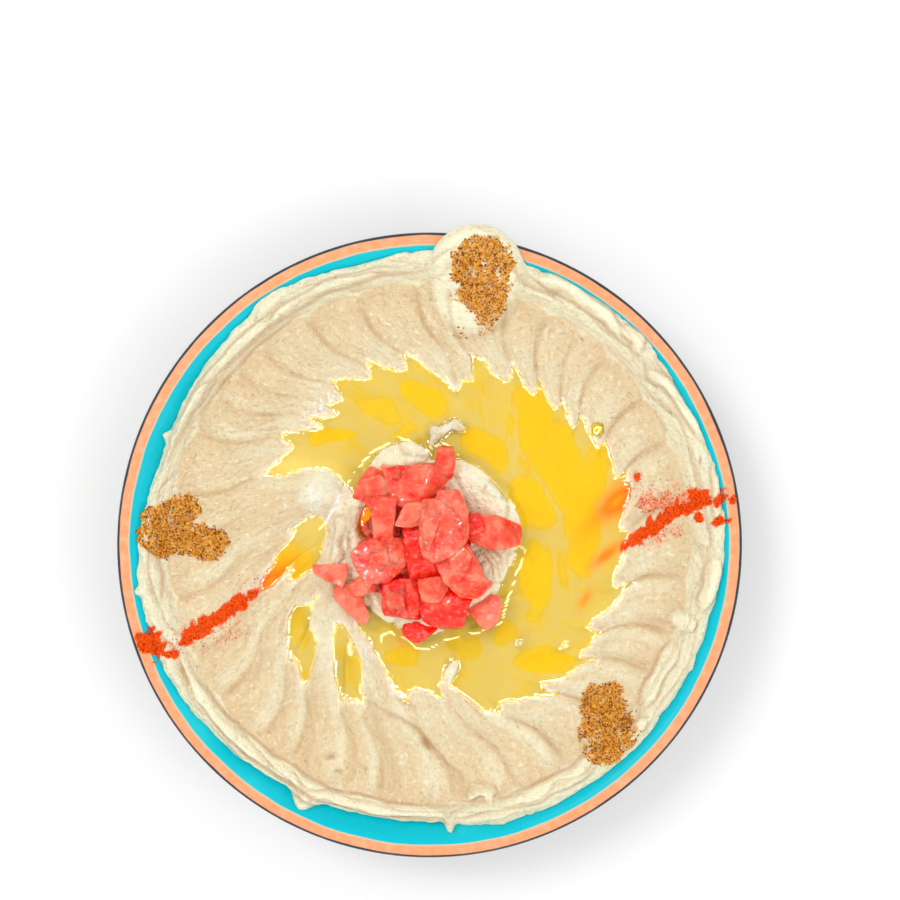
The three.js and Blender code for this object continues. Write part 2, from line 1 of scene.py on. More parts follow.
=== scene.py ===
# %% [markdown]
# # Hummus in a glazed bowl
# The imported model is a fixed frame: a bowl, the spread hummus, the oil that lies in it and
# the diced tomato. This script gives these their finish and fine shape. Everything rides
# on one body, "root", because food in its bowl has no joints. Sizes below are millimetres,
# because that is how a cook or a potter would measure them; MM turns them into metres.

# %% Load the frame
import math
import bmesh
import bpy
import numpy as np
from mathutils import Euler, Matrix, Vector, kdtree


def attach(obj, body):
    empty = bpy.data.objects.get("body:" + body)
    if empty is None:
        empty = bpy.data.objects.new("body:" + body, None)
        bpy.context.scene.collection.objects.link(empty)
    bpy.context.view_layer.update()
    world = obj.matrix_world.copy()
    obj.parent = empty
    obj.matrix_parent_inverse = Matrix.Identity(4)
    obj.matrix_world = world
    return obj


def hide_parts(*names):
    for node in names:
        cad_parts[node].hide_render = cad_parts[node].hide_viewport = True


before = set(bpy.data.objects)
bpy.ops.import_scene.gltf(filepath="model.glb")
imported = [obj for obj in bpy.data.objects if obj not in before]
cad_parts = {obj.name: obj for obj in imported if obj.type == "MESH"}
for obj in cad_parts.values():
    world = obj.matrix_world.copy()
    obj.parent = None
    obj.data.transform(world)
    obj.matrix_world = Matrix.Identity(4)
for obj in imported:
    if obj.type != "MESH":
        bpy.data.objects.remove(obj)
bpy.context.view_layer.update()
MM = 0.001
BODY = "root"
scene = bpy.context.scene


# %% [markdown]
# ## Small helpers
# Every material below is a node tree. These few functions keep the trees short to write:
# one adds a node and fills its sockets, one makes a Principled material. Finished meshes all
# go through `finish_piece`, which puts them on the body.

# %% Helpers for nodes and pieces
def fill_sockets(tree, node, inputs):
    """Link or set the sockets of a node, each by its name or its number."""
    for key, value in inputs.items():
        if isinstance(value, bpy.types.NodeSocket):
            tree.links.new(value, node.inputs[key])
        else:
            node.inputs[key].default_value = value
    return node


def add_node(tree, kind, inputs=None, **settings):
    """A node with its settings made and its sockets filled."""
    node = tree.nodes.new(kind)
    for key, value in settings.items():
        setattr(node, key, value)
    return fill_sockets(tree, node, inputs or {})


def maths(tree, operation, *values, clamp=False):
    inputs = dict(enumerate(values))
    return add_node(tree, "ShaderNodeMath", inputs, operation=operation, use_clamp=clamp).outputs[0]


def mix_colour(tree, share, *colours):
    """The first of two colours where the share is 0, the second where it is 1."""
    linked = bpy.types.NodeSocket
    first, second = (colour if isinstance(colour, linked) else (*colour, 1) for colour in colours)
    return add_node(tree, "ShaderNodeMix", {0: share, 6: first, 7: second}, data_type="RGBA").outputs[2]


def remap(tree, value, low, high, to_low=0.0, to_high=1.0, smooth=True):
    inputs = {"Value": value, "From Min": low, "From Max": high, "To Min": to_low, "To Max": to_high}
    kind = "SMOOTHSTEP" if smooth else "LINEAR"
    return add_node(tree, "ShaderNodeMapRange", inputs, interpolation_type=kind).outputs[0]


def attribute(tree, name):
    return add_node(tree, "ShaderNodeAttribute", attribute_name=name).outputs["Fac"]


def new_material(name):
    """A material, its tree and its Principled shader."""
    material = bpy.data.materials.new(name)
    material.use_nodes = True
    tree = material.node_tree
    return material, tree, tree.nodes["Principled BSDF"]


def link_object(name, data):
    item = bpy.data.objects.new(name, data)
    scene.collection.objects.link(item)
    return item


def new_object(name, vertices, faces, material, smooth=True):
    """A mesh object from arrays in millimetres."""
    data = bpy.data.meshes.new(name)
    data.from_pydata((np.asarray(vertices, dtype=float) * MM).tolist(), [], faces)
    data.materials.append(material)
    data.polygons.foreach_set("use_smooth", [smooth] * len(data.polygons))
    data.update()
    return link_object(name, data)


def ring_faces(rings, count):
    """Faces of a closed body of rings of points, with a single point before and after them."""
    faces, end = [], 1 + (rings - 1) * count
    for j in range(count):
        k = (j + 1) % count
        faces.append((0, 1 + j, 1 + k))
        for here in range(1, end, count):
            faces.append((here + j, here + count + j, here + count + k, here + k))
        faces.append((end + j, end + count, end + k))
    return faces


def put_attribute(piece, name, values):
    """Keep a number, or three of them, on each point of a piece."""
    values = np.asarray(values, dtype=np.float32)
    kind, field = ("FLOAT_VECTOR", "vector") if values.ndim == 2 else ("FLOAT", "value")
    piece.data.attributes.new(name, kind, "POINT").data.foreach_set(field, values.ravel())


def finish_piece(piece, slot, *nodes):
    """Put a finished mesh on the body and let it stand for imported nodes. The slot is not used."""
    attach(piece, BODY)
    if nodes:
        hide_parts(*nodes)
    piece.data.validate()
    print(piece.name, "faces:", len(piece.data.polygons))
    return piece

# %% [markdown]
# ## Camera, floor and light
# A bowl of dip is looked at from straight above, so the camera hangs over the table and
# looks down. It isn't quite over the middle of the bowl, which lies a little low and to
# the left in the picture. Three broad soft lights model the folds. Oil and tomato also need
# something to mirror, so two rings of smaller lights draw the thin glints on what is wet.

# %% Camera
LIP_PLANE = 37.0
CAMERA_HEIGHT = 420.0          # above the lip
PICTURE_WIDTH = 302.4          # at the lip
CAMERA_OVER = (6.9, 32.1)      # from the bowl's axis
NEAREST_SEEN = 0.01            # metres
SENSOR_WIDTH = 36.0

camera_data = bpy.data.cameras.new("camera")
camera_data.sensor_width = SENSOR_WIDTH
camera_data.lens = SENSOR_WIDTH * CAMERA_HEIGHT / PICTURE_WIDTH
camera_data.clip_start = NEAREST_SEEN
camera = link_object("camera", camera_data)
camera.location = Vector((*CAMERA_OVER, LIP_PLANE + CAMERA_HEIGHT)) * MM
scene.camera = camera
scene.view_settings.view_transform = "Standard"
scene.view_settings.look = "None"

# %% Floor
FLOOR_HALF, PAPER = 3000.0, (0.95, 0.95, 0.95, 1)

paper, paper_tree, paper_shader = new_material("floor_paper")
paper_look = {"Base Color": PAPER, "Roughness": 0.9, "Specular IOR Level": 0.1}
fill_sockets(paper_tree, paper_shader, paper_look)
corners = [(x * FLOOR_HALF, y * FLOOR_HALF, 0) for x, y in ((-1, -1), (1, -1), (1, 1), (-1, 1))]
floor = new_object("floor", corners, [(0, 1, 2, 3)], paper, smooth=False)
print("floor side:", 2 * FLOOR_HALF, "mm")

# %% Lights
def area_light(name, place, size, power, aim=(0, 0, 25), colour=(1, 1, 1), only_on=None):
    """A soft light (width, height) at a place in millimetres, aimed at a point on the food."""
    data = bpy.data.lights.new(name, "AREA")
    data.shape = "RECTANGLE"
    data.size, data.size_y = size[0] * MM, size[1] * MM
    data.energy = power
    data.color = colour
    light = link_object(name, data)
    light.location = Vector(place) * MM
    toward = Vector(aim) - Vector(place)
    light.rotation_euler = toward.to_track_quat("-Z", "Y").to_euler()
    if only_on:
        light.visible_diffuse = light.visible_transmission = False
        light.light_linking.receiver_collection = only_on
    return light


KEY = dict(place=(-400, 330, 800), size=(300, 300), power=2.25, colour=(1.0, 0.985, 0.96))
FILL = dict(place=(560, -300, 640), size=(500, 500), power=1.3, colour=(0.97, 0.98, 1.0))
TOP = dict(place=(10, 32, 900), size=(260, 260), power=1.5)
# Rings of lights that only the oil or the wet food mirrors: number, radius, height, size, power.
OIL_GLINTS = (8, 300, 400, (140, 140), 2.4)
WET_GLINTS = (9, 430, 520, (90, 30), 0.8)
# The sky is dim straight above, so that wet tops mirror little of it: brightness, blend.
SKY, OVERHEAD, SKY_BLEND = 0.82, 0.15, (0.86, 0.95)
OIL_BODIES = bpy.data.collections.new("oil_bodies")
WET_BODIES = bpy.data.collections.new("wet_bodies")


def ring_of_lights(name, ring, only_on):
    count, radius, height, size, power = ring
    for number in range(count):
        turn = math.tau * (number + 0.5) / count
        spot = (radius * math.cos(turn), radius * math.sin(turn), height)
        area_light(f"{name}_{number}", spot, size, power, only_on=only_on)


area_light("key", **KEY)
area_light("fill", **FILL)
area_light("top", **TOP).visible_glossy = False
ring_of_lights("oil_glint", OIL_GLINTS, OIL_BODIES)
ring_of_lights("wet_glint", WET_GLINTS, WET_BODIES)

world = bpy.data.worlds.new("studio")
scene.world = world
world.use_nodes = True
sky_tree = world.node_tree
upward = sky_tree.nodes.new("ShaderNodeTexCoord").outputs["Generated"]
rise = add_node(sky_tree, "ShaderNodeSeparateXYZ", {0: upward}).outputs["Z"]
strength = remap(sky_tree, rise, *SKY_BLEND, SKY, OVERHEAD)
fill_sockets(sky_tree, sky_tree.nodes["Background"], {"Color": (1, 1, 1, 1), "Strength": strength})
print("lights:", 3 + OIL_GLINTS[0] + WET_GLINTS[0])

# %% [markdown]
# ## The hummus surface as a function
# The spread is made the way a cook makes it. A spoon is drawn round the bowl, and each
# stroke leaves a leaning furrow that ends in the oil. The heel of the spoon pushes a ridge
# up against the lip and leaves a round mound in the middle for the tomato. All of that is
# one height for each angle and radius, worked out from the same sizes as the solid.

# %% Sizes of the spread
BOWL_MOUTH, BOWL_HEIGHT, BOWL_FLOOR, BOWL_CURVE = 100.8, 36.0, 8.0, 3.2
BOWL_RADIUS, BOWL_WALL = 105.7, 5.2
FOOT_OUTER, FOOT_INNER, FOOT_LIFT = 56.0, 50.0, 3.5
OIL_LEVEL = 22.0
CRATER_FLOOR, CRATER_CREST, CRATER_INNER, CRATER_RADIUS, CRATER_FLANK = 21.4, 25.4, 13.0, 27.0, 0.95
SHORE, SHORE_SLOPE, OIL_DEPTH = 66.0, 0.15, 2.6
BEACH_RISE, BEACH_LENGTH = 3.2, 24.0
RIM_START, RIM_HUMP, RIM_FOLD = 89.5, 2.9, 0.45
# The paste climbs towards the lip: height, and the radii between which it climbs.
CLIMBS = ((3.0, 66, 86), (3.2, 82, RIM_START))
EDGE_THICKNESS, LIP_REACH, SEAT = 0.9, 99.6, 0.15
EDGE_WAVER, EDGE_FRAY = 0.5, 0.3
# The crater's crest waves: reach, waves in a turn, shift in degrees.
CREST_WAVES, CREST_LIFT = ((1.2, 3, 40), (0.7, 7, 0)), (0.5, 2, -30)
STROKE_DEPTH, STROKE_CREST = 1.35, 0.8
HOOK, HOOK_LENGTH = 8.2, 9.0            # degrees, millimetres
LEAN, CURL, STRAIGHT_INSIDE, WET_FADE = 0.4, 0.010, 31.0, 13.0

# Spoon strokes: angle of the crease at the shore, radius that the oil reaches in it.
CREASES = np.array([
    (0.5, 70.5), (15, 73.5), (26, 73), (38.5, 69), (46, 68), (54.5, 69), (63.5, 66.5),
    (77.5, 66), (84.5, 59), (98, 65.5), (110, 65.5), (122.5, 66), (130, 60), (137, 60),
    (146, 63.5), (160, 62.5), (171, 36), (184, 36), (197, 36), (208, 36), (221, 36),
    (229, 36), (242, 38), (250, 42), (267, 58.5), (281, 54), (293, 66), (307, 68),
    (321, 72), (331, 67), (344, 71.5),
])
# Distance from the axis to the edge of the hummus, every 15 degrees from +X.
EDGE_RADII = np.array([
    99.3, 99.6, 98.5, 100.4, 100.0, 99.8, 99.8, 97.6, 99.8, 97.8, 96.4, 95.8,
    98.4, 99.1, 98.4, 96.8, 95.1, 94.4, 94.2, 97.3, 97.4, 97.6, 97.6, 97.8,
])
LUMP_ANGLE, LUMP_RADIUS, LUMP_HALF = 80.3, 92.0, 16.5
LUMP_OUTWARD, LUMP_INWARD, LUMP_HEIGHT = 17.5, 20.0, 5.6
# Smears of the spoon on the bowl: angle, half width in degrees, millimetres outward.
SMEARS = [(243.8, 2.6, 4.4), (274, 0.8, 3.4), (157.5, 0.9, 1.6), (189, 0.8, 1.4), (124, 3.0, 1.0)]
# Soft swellings and scoops: x, y, half length, half width, angle, height.
SWELLINGS = [
    (-1.8, 50.5, 7, 3.4, -20, -1.1), (-34.9, 36.3, 4.5, 2.6, -10, -0.9),
    (39.3, 31.4, 12, 4.6, -62, -1.7), (22.5, 29.3, 6, 3, -25, -0.9),
    (27.5, 4.9, 5, 6, 0, -0.9), (28, -17.3, 5, 6, 0, -1.3), (38.2, -41.7, 7.5, 2.8, 3, -1.2),
    (13.2, -35.8, 4, 3.4, 0, -0.8), (-10.5, -39.3, 4.5, 3.4, 0, -1), (55.6, 12.9, 4.5, 8, 0, -0.5),
    (48, 2, 3, 12, 8, 0.9), (8, 44, 6, 3, 10, 1.2), (1.5, 38.6, 2.6, 2.6, 0, 4),
    (7.6, -44.2, 2.4, 4.4, -25, 3.6), (89.5, -25, 3.6, 2.2, -20, 1.4), (92.5, -11, 3.6, 2.2, 0, 1.2),
    (18.4, -88.6, 3.4, 2.6, 30, 1.4), (60, 71, 4, 2.4, -50, 1.2), (-36, 12, 5, 7, 20, 1.6),
    (14, -58, 12, 1.7, -52, 1.3), (-20, -45, 12, 2.8, 108, 1.9),
    (-32.5, 0, 15, 4.4, 85, 3.2), (-28, -18, 11, 3.2, 78, 2.2), (66.5, 15.5, 6.5, 3.4, 45, -2.6),
    (-57.5, -15, 7.5, 2.4, 50, -2.2), (-42, 20, 12, 6.2, 20, 3.2),
]
# Pockets of oil that stand alone: x, y, half length, half width, angle, depth.
PUDDLES = {
    "oil_puddle_left": (-47.5, -4.5, 19, 7.8, 52, 3.6),
    "oil_puddle_lower_left": (-45.3, -34.5, 14, 5.0, 98, 3.0),
    "oil_puddle_low": (-29.3, -46.5, 9.5, 3.3, 103, 2.4),
    "oil_puddle_tomato": (-21.8, 7.4, 6.5, 3, 95, 2.2),
}
PUDDLE_FILL = 0.5
# Small peaks of paste that stand out of the oil: x, y, half length, half width, angle, height.
PEAKS = [(31.5, -34.2, 3.2, 1.6, 82, 2.2), (46, -36.2, 3.0, 1.6, 20, 1.7)]

# %% Smooth random heights
LATTICE_SIZE = 128
LATTICE = np.random.default_rng(11).uniform(-1, 1, (LATTICE_SIZE, LATTICE_SIZE))


def wander(x, y):
    """Smooth random value from -1 to 1 on a lattice of unit cells that repeats."""
    x, y = np.broadcast_arrays(np.asarray(x, dtype=float), np.asarray(y, dtype=float))
    column, row = np.floor(x).astype(int), np.floor(y).astype(int)
    u, v = x - column, y - row
    u, v = u * u * (3 - 2 * u), v * v * (3 - 2 * v)

    def corner(i, j):
        return LATTICE[(column + i) % LATTICE_SIZE, (row + j) % LATTICE_SIZE]

    low = corner(0, 0) * (1 - u) + corner(1, 0) * u
    high = corner(0, 1) * (1 - u) + corner(1, 1) * u
    return low * (1 - v) + high * v


def lumps(x, y, size, across=0, up=0):
    """Smooth random lumps of one size in millimetres; the shifts pick other lumps."""
    return wander(x / size + across, y / size + up)


print("random height at the middle:", round(float(lumps(0.5, 0.5, 1)), 3))

# %% Height of the spread
def smoothstep(low, high, x):
    t = np.clip((x - low) / (high - low), 0, 1)
    return t * t * (3 - 2 * t)


def plateau(start, full, fade, end, x):
    """1 between `full` and `fade`, easing to 0 at `start` and at `end`."""
    return smoothstep(start, full, x) * (1 - smoothstep(fade, end, x))


def ellipse(x, y, shape):
    """Squared distance from the middle of a turned ellipse: 1 on its outline."""
    cx, cy, half_length, half_width, angle = shape[:5]
    c, s = math.cos(math.radians(angle)), math.sin(math.radians(angle))
    along = ((x - cx) * c + (y - cy) * s) / half_length
    across = ((y - cy) * c - (x - cx) * s) / half_width
    return along ** 2 + across ** 2


def swell(x, y, shapes, power=1):
    """Soft swellings added up, each as high as its sixth number says."""
    return sum(shape[5] * np.exp(-ellipse(x, y, shape) ** power) for shape in shapes)


def lean(r):
    """Degrees by which a stroke's line lags behind its angle at the shore."""
    inside = np.maximum(0, SHORE - np.maximum(r, STRAIGHT_INSIDE))
    hook = HOOK * np.tanh(np.maximum(0, r - SHORE) / HOOK_LENGTH)
    return LEAN * inside + CURL * inside ** 2 - hook


def stroke_at(shore_angle):
    """How far across its stroke a point lies, and how far the oil reaches there."""
    angle = np.mod(shore_angle, 360)
    upper = np.searchsorted(CREASES[:, 0], angle, side="right") % len(CREASES)
    lower = upper - 1
    width = np.mod(CREASES[upper, 0] - CREASES[lower, 0], 360)
    across = np.clip(np.mod(CREASES[upper, 0] - angle, 360) / width, 0, 1)
    reach = CREASES[upper, 1] + (CREASES[lower, 1] - CREASES[upper, 1]) * across
    return across, reach


def stroke_ridge(across):
    phase = np.where(across < STROKE_CREST, across / STROKE_CREST, (1 - across) / (1 - STROKE_CREST))
    return (1 - np.cos(np.pi * phase)) / 2


def edge_radius(angle):
    """Distance from the axis to the edge of the spread, with its smears and the lump."""
    place = np.mod(angle, 360) / (360 / len(EDGE_RADII))
    index = np.floor(place).astype(int) % len(EDGE_RADII)
    here, after = EDGE_RADII[index], EDGE_RADII[(index + 1) % len(EDGE_RADII)]
    turn = np.mod(angle, 360) / 360 * LATTICE_SIZE
    edge = here + (after - here) * (place % 1)
    edge = edge + EDGE_WAVER * wander(turn, 5.5) + EDGE_FRAY * wander(turn * 3, 12.5)
    for middle, half_angle, out in SMEARS:
        away = (np.mod(angle - middle + 180, 360) - 180) / half_angle
        edge = edge + out * np.exp(-away ** 2)
    off = np.radians(angle - LUMP_ANGLE)
    across = LUMP_RADIUS * np.sin(off) / LUMP_HALF
    lump = LUMP_RADIUS * np.cos(off) + LUMP_OUTWARD * np.sqrt(np.clip(1 - across ** 2, 0, None))
    return np.where((np.abs(across) < 1) & (np.cos(off) > 0), np.maximum(edge, lump), edge)


def bowl_inside(r):
    return BOWL_FLOOR + (BOWL_HEIGHT - BOWL_FLOOR) * (r / BOWL_MOUTH) ** BOWL_CURVE


def underside(r):
    return np.where(r < LIP_REACH, bowl_inside(np.minimum(r, LIP_REACH)), BOWL_HEIGHT) + SEAT


def mean_height(r, reach):
    """Height between the strokes: bed under the oil, beach above it, climb to the lip."""
    past = r - reach
    stretch = np.where(past < BEACH_LENGTH, 1.0, BEACH_LENGTH / np.maximum(past, 1e-6))
    beach = BEACH_RISE * np.tanh(SHORE_SLOPE * past / BEACH_RISE * stretch)
    bed = OIL_DEPTH * np.tanh(SHORE_SLOPE * past / OIL_DEPTH)
    rise = sum(height * smoothstep(start, end, r) for height, start, end in CLIMBS)
    return OIL_LEVEL + np.where(past > 0, beach, bed) + rise


def wave_round(angle, reach, number, shift):
    return reach * np.sin(np.radians(number * angle + shift))


def crater(angle, r):
    """Height of the mound in the middle: a floor, a waving crest and a steep flank."""
    crest = CRATER_RADIUS + sum(wave_round(angle, *wave) for wave in CREST_WAVES)
    top = CRATER_CREST + wave_round(angle, *CREST_LIFT)
    inside = CRATER_FLOOR + (top - CRATER_FLOOR) * smoothstep(CRATER_INNER, crest, r)
    return np.where(r > crest, top - CRATER_FLANK * (r - crest), inside)


def lump_swell(angle, r):
    off = np.radians(angle - LUMP_ANGLE)
    outward = r * np.cos(off) - LUMP_RADIUS
    along = outward / np.where(outward > 0, LUMP_OUTWARD, LUMP_INWARD)
    return 1 - along ** 2 - (r * np.sin(off) / LUMP_HALF) ** 2


def hummus_height(angle, r):
    """Height of the bare spread at an angle in degrees and a radius in millimetres."""
    wave = np.radians(angle)
    x, y = r * np.cos(wave), r * np.sin(wave)
    across, reach = stroke_at(angle + lean(r))
    fade = plateau(33, 46, 82, 92, r) * smoothstep(reach - WET_FADE, reach + 2, r)
    z = mean_height(r, reach) + STROKE_DEPTH * stroke_ridge(across) * fade
    z = np.maximum(z, crater(angle, r))
    z = z + swell(x, y, SWELLINGS) - swell(x, y, PUDDLES.values(), 2)
    edge = edge_radius(angle)
    rim = np.clip((r - RIM_START) / (edge - RIM_START), 0, 1)
    fold = RIM_FOLD * np.cos(math.tau * (1.6 * rim + 0.2 * np.sin(5 * wave)))
    z = z + (underside(edge) + EDGE_THICKNESS - z) * rim
    z = z + (RIM_HUMP + fold) * np.sin(np.pi * rim) ** 0.8
    return z + LUMP_HEIGHT * np.sqrt(np.clip(lump_swell(angle, r), 0, None))


def height_at(surface, x, y):
    """Height of a surface at one point."""
    return float(surface(np.array(math.degrees(math.atan2(y, x))), np.array(math.hypot(x, y))))


print("height at the mound's crest:", round(height_at(hummus_height, -25.4, -9.2), 2))

# %% [markdown]
# ## Bowl
# The bowl is thrown on a wheel, so one profile turned about the axis gives all of it. A
# small node tree does the turning: it lays out a grid, one column for each profile point
# and one row for each step round, and moves every grid point to its place. The profile
# carries its own length, "arc", and the glaze reads it, so each colour band sits exactly
# where the potter would have brushed it: turquoise inside, a cream line, a coral lip and a
# charcoal outside, with the foot ring left bare.

# %% Profile of the bowl
BOWL_TURNS = 288


def bowl_outside(r):
    """Point on the outer wall, one wall thickness square off the inside curve."""
    slope = (BOWL_HEIGHT - BOWL_FLOOR) * BOWL_CURVE / BOWL_MOUTH * (r / BOWL_MOUTH) ** (BOWL_CURVE - 1)
    tilt = math.atan(slope)
    return r + BOWL_WALL * math.sin(tilt), bowl_inside(r) - BOWL_WALL * math.cos(tilt)


def arc_points(centre, radius, start, end, steps):
    """Points on a round of the lip or the foot, between two angles in degrees."""
    turns = np.radians(np.linspace(start, end, steps + 1))
    return [(centre[0] + radius * math.cos(t), centre[1] + radius * math.sin(t)) for t in turns]


FOOT_ROUND, LIP_ROUND = 1.4, 2.1
bowl_profile = [(0, FOOT_LIFT), (20, FOOT_LIFT), (40, FOOT_LIFT), (FOOT_INNER - 1.5, FOOT_LIFT)]
bowl_profile += arc_points((FOOT_INNER + FOOT_ROUND, FOOT_ROUND), FOOT_ROUND, 180, 270, 6)
bowl_profile += arc_points((FOOT_OUTER - FOOT_ROUND, FOOT_ROUND), FOOT_ROUND, 270, 360, 6)
foot_top = len(bowl_profile)
bowl_profile += [(FOOT_OUTER + 0.2, 3.2), (FOOT_OUTER + 0.8, 5.4)]
bowl_profile += [bowl_outside(r) for r in np.linspace(59, 100.5, 30)]
lip_middle = (BOWL_RADIUS - LIP_ROUND, BOWL_HEIGHT - LIP_ROUND)
bowl_profile += arc_points(lip_middle, LIP_ROUND, -10, 90, 12)
bowl_profile += [(102.4, BOWL_HEIGHT), (101.7, BOWL_HEIGHT - 0.04), (101.1, BOWL_HEIGHT - 0.2)]
bowl_profile += [(r, bowl_inside(r)) for r in np.linspace(BOWL_MOUTH - 0.3, 3, 56)] + [(0, BOWL_FLOOR)]
bowl_profile = np.array(bowl_profile, dtype=float)
bowl_arc = np.concatenate([[0], np.cumsum(np.hypot(*np.diff(bowl_profile, axis=0).T))])


def arc_on_lip(radius):
    """Length along the profile at which the lip's top passes a radius."""
    top = np.where((bowl_profile[:, 1] > BOWL_HEIGHT - 3) & (bowl_profile[:, 0] > 90))[0]
    top = top[np.argmax(bowl_profile[top, 0]):]
    return float(np.interp(-radius, -bowl_profile[top, 0], bowl_arc[top]))


print("profile points:", len(bowl_profile), "length:", round(bowl_arc[-1], 1))

# %% Tree that turns a profile
def group_inputs(tree, **kinds):
    """Give a tree its named inputs, each with a kind and a first value, and its output."""
    sockets = {}
    for name, (kind, *first) in kinds.items():
        name = name.replace("_", " ")
        socket = tree.interface.new_socket(name, in_out="INPUT", socket_type="NodeSocket" + kind)
        if first:
            socket.default_value = first[0]
        sockets[name] = socket.identifier
    tree.interface.new_socket("Geometry", in_out="OUTPUT", socket_type="NodeSocketGeometry")
    return sockets


def finish_tree(tree, mesh, steps):
    """Pass a mesh through nodes one after another: kind, inputs and settings of each."""
    for kind, inputs, settings in steps:
        mesh = add_node(tree, "GeometryNode" + kind, {"Geometry": mesh, **inputs}, **settings).outputs[0]
    tree.links.new(mesh, tree.nodes.new("NodeGroupOutput").inputs[0])


def revolve_tree():
    """Node tree: profile mesh (x, z along its vertices) in, turned body out."""
    tree = bpy.data.node_groups.new("turn_profile", "GeometryNodeTree")
    sockets = group_inputs(tree, Geometry=("Geometry",), Profile=("Object",),
                           Steps_round=("Int", 64), Material=("Material",))
    given = tree.nodes.new("NodeGroupInput").outputs
    profile = add_node(tree, "GeometryNodeObjectInfo", {"Object": given["Profile"]}).outputs["Geometry"]
    size = add_node(tree, "GeometryNodeAttributeDomainSize", {"Geometry": profile})
    rows = maths(tree, "ADD", given["Steps round"], 1)
    counts = {"Vertices X": size.outputs["Point Count"], "Vertices Y": rows}
    grid = add_node(tree, "GeometryNodeMeshGrid", counts)
    index = tree.nodes.new("GeometryNodeInputIndex").outputs[0]
    point = maths(tree, "FLOOR", maths(tree, "DIVIDE", maths(tree, "ADD", index, 0.5), rows))
    step = maths(tree, "SUBTRACT", index, maths(tree, "MULTIPLY", point, rows))

    def on_profile(value, kind):
        inputs = {"Geometry": profile, "Index": point, "Value": value}
        return add_node(tree, "GeometryNodeSampleIndex", inputs, data_type=kind).outputs[0]

    place = on_profile(tree.nodes.new("GeometryNodeInputPosition").outputs[0], "FLOAT_VECTOR")
    named = add_node(tree, "GeometryNodeInputNamedAttribute", {"Name": "arc"}, data_type="FLOAT")
    arc = on_profile(named.outputs["Attribute"], "FLOAT")
    flat = add_node(tree, "ShaderNodeSeparateXYZ", {"Vector": place}).outputs
    angle = maths(tree, "DIVIDE", maths(tree, "MULTIPLY", step, math.tau), given["Steps round"])
    x = maths(tree, "MULTIPLY", flat["X"], maths(tree, "COSINE", angle))
    y = maths(tree, "MULTIPLY", flat["X"], maths(tree, "SINE", angle))
    turned = add_node(tree, "ShaderNodeCombineXYZ", {"X": x, "Y": y, "Z": flat["Z"]})
    steps = [
        ("SetPosition", {"Position": turned.outputs[0]}, {}),
        ("StoreNamedAttribute", {"Name": "arc", "Value": arc}, {"data_type": "FLOAT", "domain": "POINT"}),
        ("MergeByDistance", {"Distance": 0.005 * MM}, {}), ("SetShadeSmooth", {}, {}),
        ("RealizeInstances", {}, {}), ("SetMaterial", {"Material": given["Material"]}, {}),
    ]
    finish_tree(tree, grid.outputs["Mesh"], steps)
    return tree, sockets


def run_tree(name, tree, sockets, values, start=None):
    """Run a tree on a mesh and keep the result as a plain mesh object."""
    carrier = start or link_object(name + "_carrier", bpy.data.meshes.new(name + "_carrier"))
    modifier = carrier.modifiers.new("tree", "NODES")
    modifier.node_group = tree
    for label, value in values.items():
        modifier[sockets[label]] = value
    carrier.update_tag()
    evaluated = carrier.evaluated_get(bpy.context.evaluated_depsgraph_get())
    data = bpy.data.meshes.new_from_object(evaluated)
    carrier.modifiers.remove(modifier)
    bpy.data.objects.remove(carrier)
    data.name = name
    return link_object(name, data)

# %% [markdown]
# ## Glaze
# Several glossy glazes meet on the lip. Brushed bands never meet in a perfect line, so each
# edge wavers by a few tenths of a millimetre. The turquoise breaks lighter where it runs
# thin, and has a faint mottle from the kiln. The bare foot is matt clay.

# %% Shader groups shared by several finishes
def mottle_group():
    """Soft blotches from -1 to 1 at a size in millimetres, on Object coordinates."""
    tree = bpy.data.node_groups.new("mottle", "ShaderNodeTree")
    for name, value in (("Size mm", 10), ("Detail", 3)):
        tree.interface.new_socket(name, in_out="INPUT", socket_type="NodeSocketFloat").default_value = value
    tree.interface.new_socket("Value", in_out="OUTPUT", socket_type="NodeSocketFloat")
    given = tree.nodes.new("NodeGroupInput").outputs
    where = tree.nodes.new("ShaderNodeTexCoord").outputs["Object"]
    inputs = {"Vector": where, "Scale": maths(tree, "DIVIDE", 1 / MM, given["Size mm"])}
    noise = add_node(tree, "ShaderNodeTexNoise", {**inputs, "Detail": given["Detail"]})
    value = remap(tree, noise.outputs[0], 0.25, 0.75, -1, 1, smooth=False)
    tree.links.new(value, tree.nodes.new("NodeGroupOutput").inputs[0])
    return tree


MOTTLE = mottle_group()


def mottle(tree, size, detail=3.0):
    inputs = {"Size mm": size, "Detail": detail}
    return add_node(tree, "ShaderNodeGroup", inputs, node_tree=MOTTLE).outputs["Value"]


def bump(tree, height, distance):
    inputs = {"Height": height, "Distance": distance * MM, "Strength": 1.0}
    return add_node(tree, "ShaderNodeBump", inputs).outputs[0]

# %% Glaze material
CORAL_INNER, CORAL_OUTER, CREAM_INNER = 101.5, 104.5, 101.0
TURQUOISE, TURQUOISE_PALE = (0.0, 0.525, 0.65), (0.03, 0.64, 0.71)
CORAL, CORAL_PALE = (0.84, 0.355, 0.165), (0.89, 0.485, 0.29)
CREAM_LINE, CHARCOAL, CLAY = (0.72, 0.55, 0.34), (0.03, 0.04, 0.055), (0.42, 0.27, 0.17)
GLAZE_WAVER, BRUSH_LINES = 0.22, 9.0       # millimetres, lines to the radian
GLAZE_ROUGHNESS, CLAY_ROUGHNESS = 0.26, 0.75
FOOT_BLEND, LINE_BLEND, MOUTH_BLEND = 0.3, 0.12, 0.15     # half widths of soft edges


